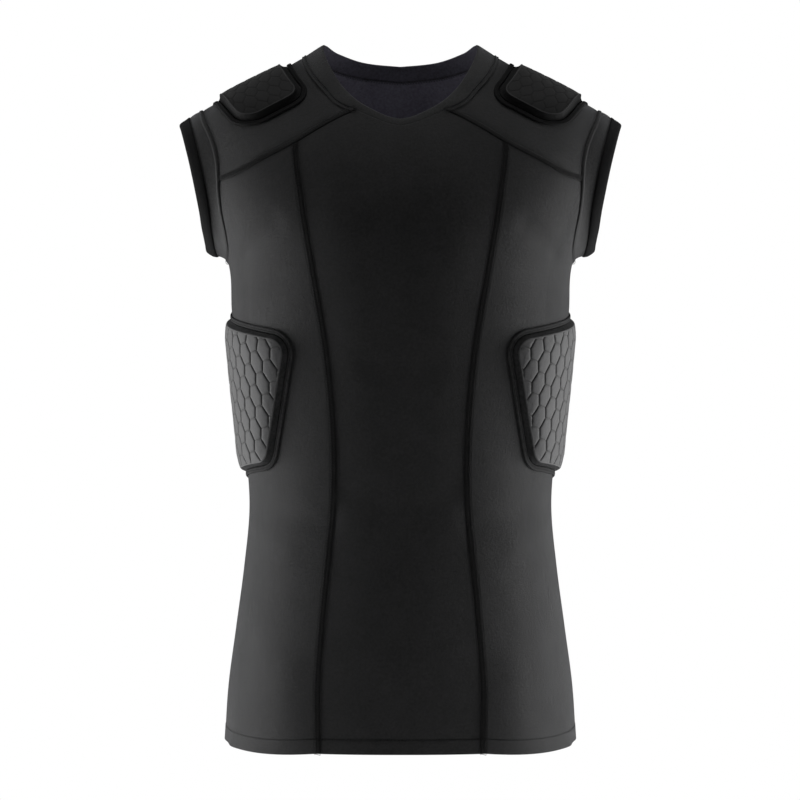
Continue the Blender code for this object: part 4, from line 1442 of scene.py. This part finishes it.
def stitch_tree():
    """Geometry Nodes: sewing along edges, needle rows with or without a covering zigzag."""
    tree = bpy.data.node_groups.get("Sewing rows")
    if tree is not None:
        return tree
    tree = bpy.data.node_groups.new("Sewing rows", "GeometryNodeTree")
    face = tree.interface
    face.new_socket("Geometry", in_out="INPUT", socket_type="NodeSocketGeometry")
    for label in ("Stitch length", "Row spacing", "Thread radius", "Cover"):
        face.new_socket(label, in_out="INPUT", socket_type="NodeSocketFloat")
    face.new_socket("Thread", in_out="INPUT", socket_type="NodeSocketMaterial")
    face.new_socket("Geometry", in_out="OUTPUT", socket_type="NodeSocketGeometry")
    given = tree.nodes.new("NodeGroupInput").outputs
    pitch, radius = given["Stitch length"], given["Thread radius"]
    sizes = add_node(tree, "ShaderNodeCombineXYZ", {0: pitch, 1: given["Row spacing"], 2: radius})
    profile = add_node(tree, "GeometryNodeCurvePrimitiveCircle",
                       {"Resolution": THREAD_SIDES, "Radius": radius}, "Curve")

    def spot(shares):
        return add_node(tree, "ShaderNodeVectorMath", {0: sizes, 1: shares}, operation="MULTIPLY")

    def thread(start, middle, end):
        arc = add_node(tree, "GeometryNodeCurveQuadraticBezier", {
            "Resolution": THREAD_STEPS, "Start": spot(start), "Middle": spot(middle),
            "End": spot(end)})
        return add_node(tree, "GeometryNodeCurveToMesh",
                        {"Curve": arc, "Profile Curve": profile, "Fill Caps": True})

    def joined(parts):
        node = tree.nodes.new("GeometryNodeJoinGeometry")
        for part in parts:
            tree.links.new(part, node.inputs["Geometry"])
        return node.outputs["Geometry"]

    needles = [thread(*spots) for spots in NEEDLE_THREADS]
    cover = joined([thread(*spots) for spots in COVER_THREADS])
    wanted = add_node(tree, "FunctionNodeCompare", {0: given["Cover"], 1: 0.5},
                      operation="GREATER_THAN")
    covered = add_node(tree, "GeometryNodeSwitch", {"Switch": wanted, "True": cover},
                       input_type="GEOMETRY")
    line = add_node(tree, "GeometryNodeMeshToCurve", {"Mesh": given["Geometry"]})
    even = add_node(tree, "GeometryNodeResampleCurve", {"Curve": line, "Length": pitch},
                    mode="LENGTH")
    tangent = add_node(tree, "GeometryNodeInputTangent", {})
    facing = add_node(tree, "GeometryNodeInputNamedAttribute", {"Name": "facing"}, "Attribute",
                      data_type="FLOAT_VECTOR")
    ahead = add_node(tree, "FunctionNodeAlignRotationToVector", {"Vector": tangent}, axis="X")
    upright = add_node(tree, "FunctionNodeAlignRotationToVector",
                       {"Rotation": ahead, "Vector": facing}, axis="Z", pivot_axis="X")
    sewn = add_node(tree, "GeometryNodeInstanceOnPoints", {
        "Points": even, "Instance": joined([*needles, covered]), "Rotation": upright})
    real = add_node(tree, "GeometryNodeRealizeInstances", {"Geometry": sewn})
    smooth = add_node(tree, "GeometryNodeSetShadeSmooth", {"Geometry": real})
    coloured = add_node(tree, "GeometryNodeSetMaterial",
                        {"Geometry": smooth, "Material": given["Thread"]})
    result = tree.nodes.new("NodeGroupOutput")
    tree.links.new(coloured, result.inputs["Geometry"])
    return tree


def sew(scene, name, lines, cover=False, spacing=None, pitch=None, thread=None,
        grey=False):
    """Stitches along lines of (points, normals), made by Geometry Nodes and kept as a mesh."""
    sewing = scene.shirt_sewing
    points, edges, facing, total = [], [], [], 0
    for line, normals in lines:
        points.append(line)
        facing.append(normals)
        edges.extend((k, k + 1) for k in range(total, total + len(line) - 1))
        total += len(line)
    mesh = bpy.data.meshes.new(name + "_line")
    mesh.from_pydata(np.vstack(points).tolist(), edges, [])
    attribute = mesh.attributes.new("facing", "FLOAT_VECTOR", "POINT")
    attribute.data.foreach_set("vector", np.vstack(facing).astype(np.float32).ravel())
    path = add_object(name + "_path", mesh)
    modifier = path.modifiers.new("Sewing", "NODES")
    modifier.node_group = stitch_tree()
    values = {
        "Stitch length": pitch or sewing.pitch,
        "Row spacing": sewing.spacing if spacing is None else spacing,
        "Thread radius": thread or sewing.thread,
        "Cover": 1.0 if cover else 0.0,
        "Thread": finish("grey_thread" if grey else "black_thread", twisted_thread,
                         sewing.grey if grey else sewing.black),
    }
    for item in modifier.node_group.interface.items_tree:
        if item.in_out == "INPUT" and item.name in values:
            modifier[item.identifier] = values[item.name]
    path.update_tag()
    bpy.context.view_layer.update()
    evaluated = path.evaluated_get(bpy.context.evaluated_depsgraph_get())
    sewn_mesh = bpy.data.meshes.new_from_object(evaluated)
    sewn_mesh.name = name
    bpy.data.objects.remove(path, do_unlink=True)
    dress(add_object(name, sewn_mesh), None)


def seam_line(scene, plan, aside=0.0, lift=0.0004, turn=1):
    """A line over a seam: its points moved aside on the cloth, and their normals."""
    points = on_form(turned(plan, turn))
    along = lengths_along(points)
    even = np.linspace(0, along[-1], round(along[-1] / SEWING_LINE_STEP))
    points = read_at(even, along, points)
    normals = outward(points)
    run = unit(np.gradient(points, axis=0))
    beside = unit(np.cross(normals, run)) * turn
    points = points + beside * aside
    crease = creased(points, normals, scene.shirt_cloth.crease_depth)
    return points + (crease + lift)[:, None] * normals, normals


class SHIRT_OT_sewing(Operator):
    """Flat seams, hem stitching and the stitches on bands, bindings and pad borders"""

    bl_idname = "shirt.sewing"
    bl_label = "Sewing"

    # Way from each seam to its sewing, and the sewing's height over the form
    YOKE_ASIDE = 0.0032
    YOKE_LIFT = 0.0006
    NECK_ASIDE = -0.0024
    NECK_LIFT = 0.00065
    NECK_INNER_LIFT = -0.0021
    HEM_LIFT = 0.0001
    # Rows on sleeves. Columns: way out from the seam or the edge, height
    ARMHOLE_ROW = (0.0023, 0.00085)
    BINDING_ROW = (0.0016, 0.00105)
    # Row on a pad's border: way in from its outer edge, height
    BORDER_ROW = (0.0026, 0.0011)
    FACING_STEP = 0.001

    def execute(self, context):
        scene = context.scene
        long_seams, yokes, neck, inside = [], [], [], []
        necks = [("neck_side", turn) for _, turn in SIDES] + [("neck_back", 1)]
        for _, turn in SIDES:
            for key, aside in (("front", self.YOKE_ASIDE), ("back", -self.YOKE_ASIDE)):
                long_seams.append(seam_line(scene, SEAMS[key + "_princess"], turn=turn))
                whole = joined_edge(SEAMS[key + "_yoke_in"], SEAMS[key + "_yoke_out"])[1]
                yokes.append(seam_line(scene, whole, aside, self.YOKE_LIFT, turn))
        for key, turn in necks:
            neck.append(seam_line(scene, SEAMS[key], self.NECK_ASIDE, self.NECK_LIFT, turn))
            line, normals = seam_line(scene, SEAMS[key], 0.0, self.NECK_INNER_LIFT, turn)
            inside.append((line, -normals))
        hem_plan = hem_run(0, 2 * math.pi, 900) + np.array([0, HEM_DEPTH])
        hem = seam_line(scene, hem_plan, 0.0, self.HEM_LIFT)
        sew(scene, "long_seam_stitches", long_seams, cover=True)
        sew(scene, "yoke_seam_stitches", yokes, cover=True, spacing=0.0042, grey=True)
        sew(scene, "neck_seam_stitches", neck, spacing=0.0026, pitch=0.0028, grey=True)
        sew(scene, "neck_inner_stitches", inside, cover=True, spacing=0.0030,
            thread=0.00014, grey=True)
        sew(scene, "hem_stitches", [hem], spacing=0.0, pitch=0.0034, thread=0.00020,
            grey=True)
        self.sew_sleeves(scene)
        self.sew_borders(scene)
        return {"FINISHED"}

    def both(self, row, facing):
        """A closed row of stitches and its mirror image."""
        return [(turned(closed(row), turn), turned(closed(facing), turn)) for _, turn in SIDES]

    def sew_sleeves(self, scene):
        """A row of stitches along each armhole and each sleeve binding."""
        start, end, way, normal = sleeve_frame()
        for name, edge, (out, high), slot_name, grey in (
                ("armhole_stitches", start, self.ARMHOLE_ROW, "knit", True),
                ("binding_stitches", end, self.BINDING_ROW, "binding", False)):
            row = edge + way * out + normal * high
            sew(scene, name, self.both(row, normal), spacing=0.0, pitch=0.0026,
                thread=0.00016, grey=grey)

    def sew_borders(self, scene):
        """One row of stitches along the middle of each pad border."""
        way_in, high = self.BORDER_ROW
        for name, corners, place in (("rib_pad_stitches", RIB_PAD, place_on_rib),
                                     ("shoulder_pad_stitches", SHOULDER_PAD, place_on_shoulder)):
            outline = rounded_outline(corners, way_in)
            lift = np.full(len(outline), PAD_CLEARANCE + high)
            row = place(np.column_stack([outline, lift]))
            facing = unit(place(np.column_stack([outline, lift + self.FACING_STEP])) - row)
            sew(scene, name, self.both(row, facing), spacing=0.0, pitch=0.0030,
                thread=0.00018)


def area_light(name, power, width, height, place, target):
    """A soft rectangular light that faces a point."""
    data = bpy.data.lights.new(name, "AREA")
    data.shape = "RECTANGLE"
    data.energy = power
    data.size = width
    data.size_y = height
    light = add_object(name, data)
    light.location = place
    light.rotation_euler = (Vector(target) - Vector(place)).to_track_quat("-Z", "Y").to_euler()


class SHIRT_OT_stage(Operator):
    """Camera, pale floor, backdrop and soft studio light"""

    bl_idname = "shirt.stage"
    bl_label = "Stage"

    FLOOR_RADIUS = 1.5
    SENSOR = 36.0
    CAMERA_ASIDE = -0.0004
    # Columns: name, its power, width, height, place, the point that it faces
    LIGHTS = (
        ("side_softbox", "side_power", 1.12, 1.5, (1.685, 0.22, -0.50), (0.0, 0.0, -0.40)),
        ("side_softbox", "side_power", 1.12, 1.5, (-1.685, 0.22, -0.50), (0.0, 0.0, -0.40)),
        ("top_softbox", "top_power", 1.2, 1.2, (0.0, -0.3, 1.4), (0.0, 0.0, -0.2)),
        ("front_fill", "front_power", 1.2, 1.2, (0.0, -1.7, 1.3), (0.0, 0.0, -0.1)),
    )

    def execute(self, context):
        scene = context.scene
        stage = scene.shirt_stage
        data = bpy.data.cameras.new("photo_view")
        data.sensor_width = self.SENSOR
        data.lens = self.SENSOR * stage.distance / stage.view_width
        camera = add_object("photo_view", data)
        camera.location = (self.CAMERA_ASIDE, -stage.distance, stage.centre_height)
        camera.rotation_euler = (math.radians(90), 0.0, 0.0)
        scene.camera = camera
        self.add_floor(stage)
        self.light_world(scene)
        for name, power, *sizes_and_places in self.LIGHTS:
            area_light(name, getattr(stage, power), *sizes_and_places)
        scene.view_settings.view_transform = "Standard"
        return {"FINISHED"}

    def add_floor(self, stage):
        """A pale round floor, clear below the hem."""
        height = HEM_HEIGHT - stage.floor_drop
        around = [(self.FLOOR_RADIUS * math.cos(a), self.FLOOR_RADIUS * math.sin(a), height)
                  for a in np.linspace(0, 2 * math.pi, 97)[:-1]]
        mesh = bpy.data.meshes.new("pale_floor")
        mesh.from_pydata(around, [], [list(range(len(around)))])
        material = bpy.data.materials.new("pale_floor")
        material.use_nodes = True
        tree = material.node_tree
        set_inputs(tree, tree.nodes["Principled BSDF"], {
            "Base Color": (0.9, 0.9, 0.9, 1.0),
            "Roughness": 0.9,
            "Emission Color": (1.0, 1.0, 1.0, 1.0),
            "Emission Strength": 0.45,
        })
        mesh.materials.append(material)
        add_object("pale_floor", mesh)

    def light_world(self, scene):
        """White surroundings as the camera sees them, dim as they light the cloth."""
        world = bpy.data.worlds.new("studio")
        world.use_nodes = True
        tree = world.node_tree
        dim = tree.nodes["Background"]
        set_inputs(tree, dim, {"Color": (0.95, 0.97, 1.0, 1.0), "Strength": 0.015})
        white = add_node(tree, "ShaderNodeBackground",
                         {"Color": (1.0, 1.0, 1.0, 1.0), "Strength": 1.0})
        seen = add_node(tree, "ShaderNodeLightPath", {}, "Is Camera Ray")
        mixed = add_node(tree, "ShaderNodeMixShader",
                         {0: seen, 1: dim.outputs["Background"], 2: white})
        tree.links.new(mixed, tree.nodes["World Output"].inputs["Surface"])
        scene.world = world


class SHIRT_PT_panel(Panel):
    """Sizes, colours and steps of the shirt"""

    bl_idname = "SHIRT_PT_panel"
    bl_label = "Padded shirt"
    bl_space_type = "VIEW_3D"
    bl_region_type = "UI"
    bl_category = "Shirt"

    def draw(self, context):
        layout = self.layout
        scene = context.scene
        for group in (scene.shirt_cloth, scene.shirt_pads, scene.shirt_sewing, scene.shirt_stage):
            box = layout.box()
            for key in group.__annotations__:
                box.prop(group, key)
        for step in STEPS:
            layout.operator(step.bl_idname)


GROUPS = {
    "shirt_cloth": ShirtCloth,
    "shirt_pads": ShirtPads,
    "shirt_sewing": ShirtSewing,
    "shirt_stage": ShirtStage,
}
STEPS = (SHIRT_OT_stage, SHIRT_OT_panels, SHIRT_OT_neck_band, SHIRT_OT_sleeves,
         SHIRT_OT_rib_pads, SHIRT_OT_shoulder_pads, SHIRT_OT_sewing)


def register():
    for cls in (*GROUPS.values(), *STEPS, SHIRT_PT_panel):
        bpy.utils.register_class(cls)
    for name, group in GROUPS.items():
        setattr(bpy.types.Scene, name, PointerProperty(type=group))


def unregister():
    for name in GROUPS:
        delattr(bpy.types.Scene, name)
    for cls in reversed((*GROUPS.values(), *STEPS, SHIRT_PT_panel)):
        bpy.utils.unregister_class(cls)


def main():
    """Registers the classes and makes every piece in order."""
    register()
    for step in STEPS:
        group, name = step.bl_idname.split(".")
        getattr(getattr(bpy.ops, group), name)()


if __name__ == "__main__":
    main()
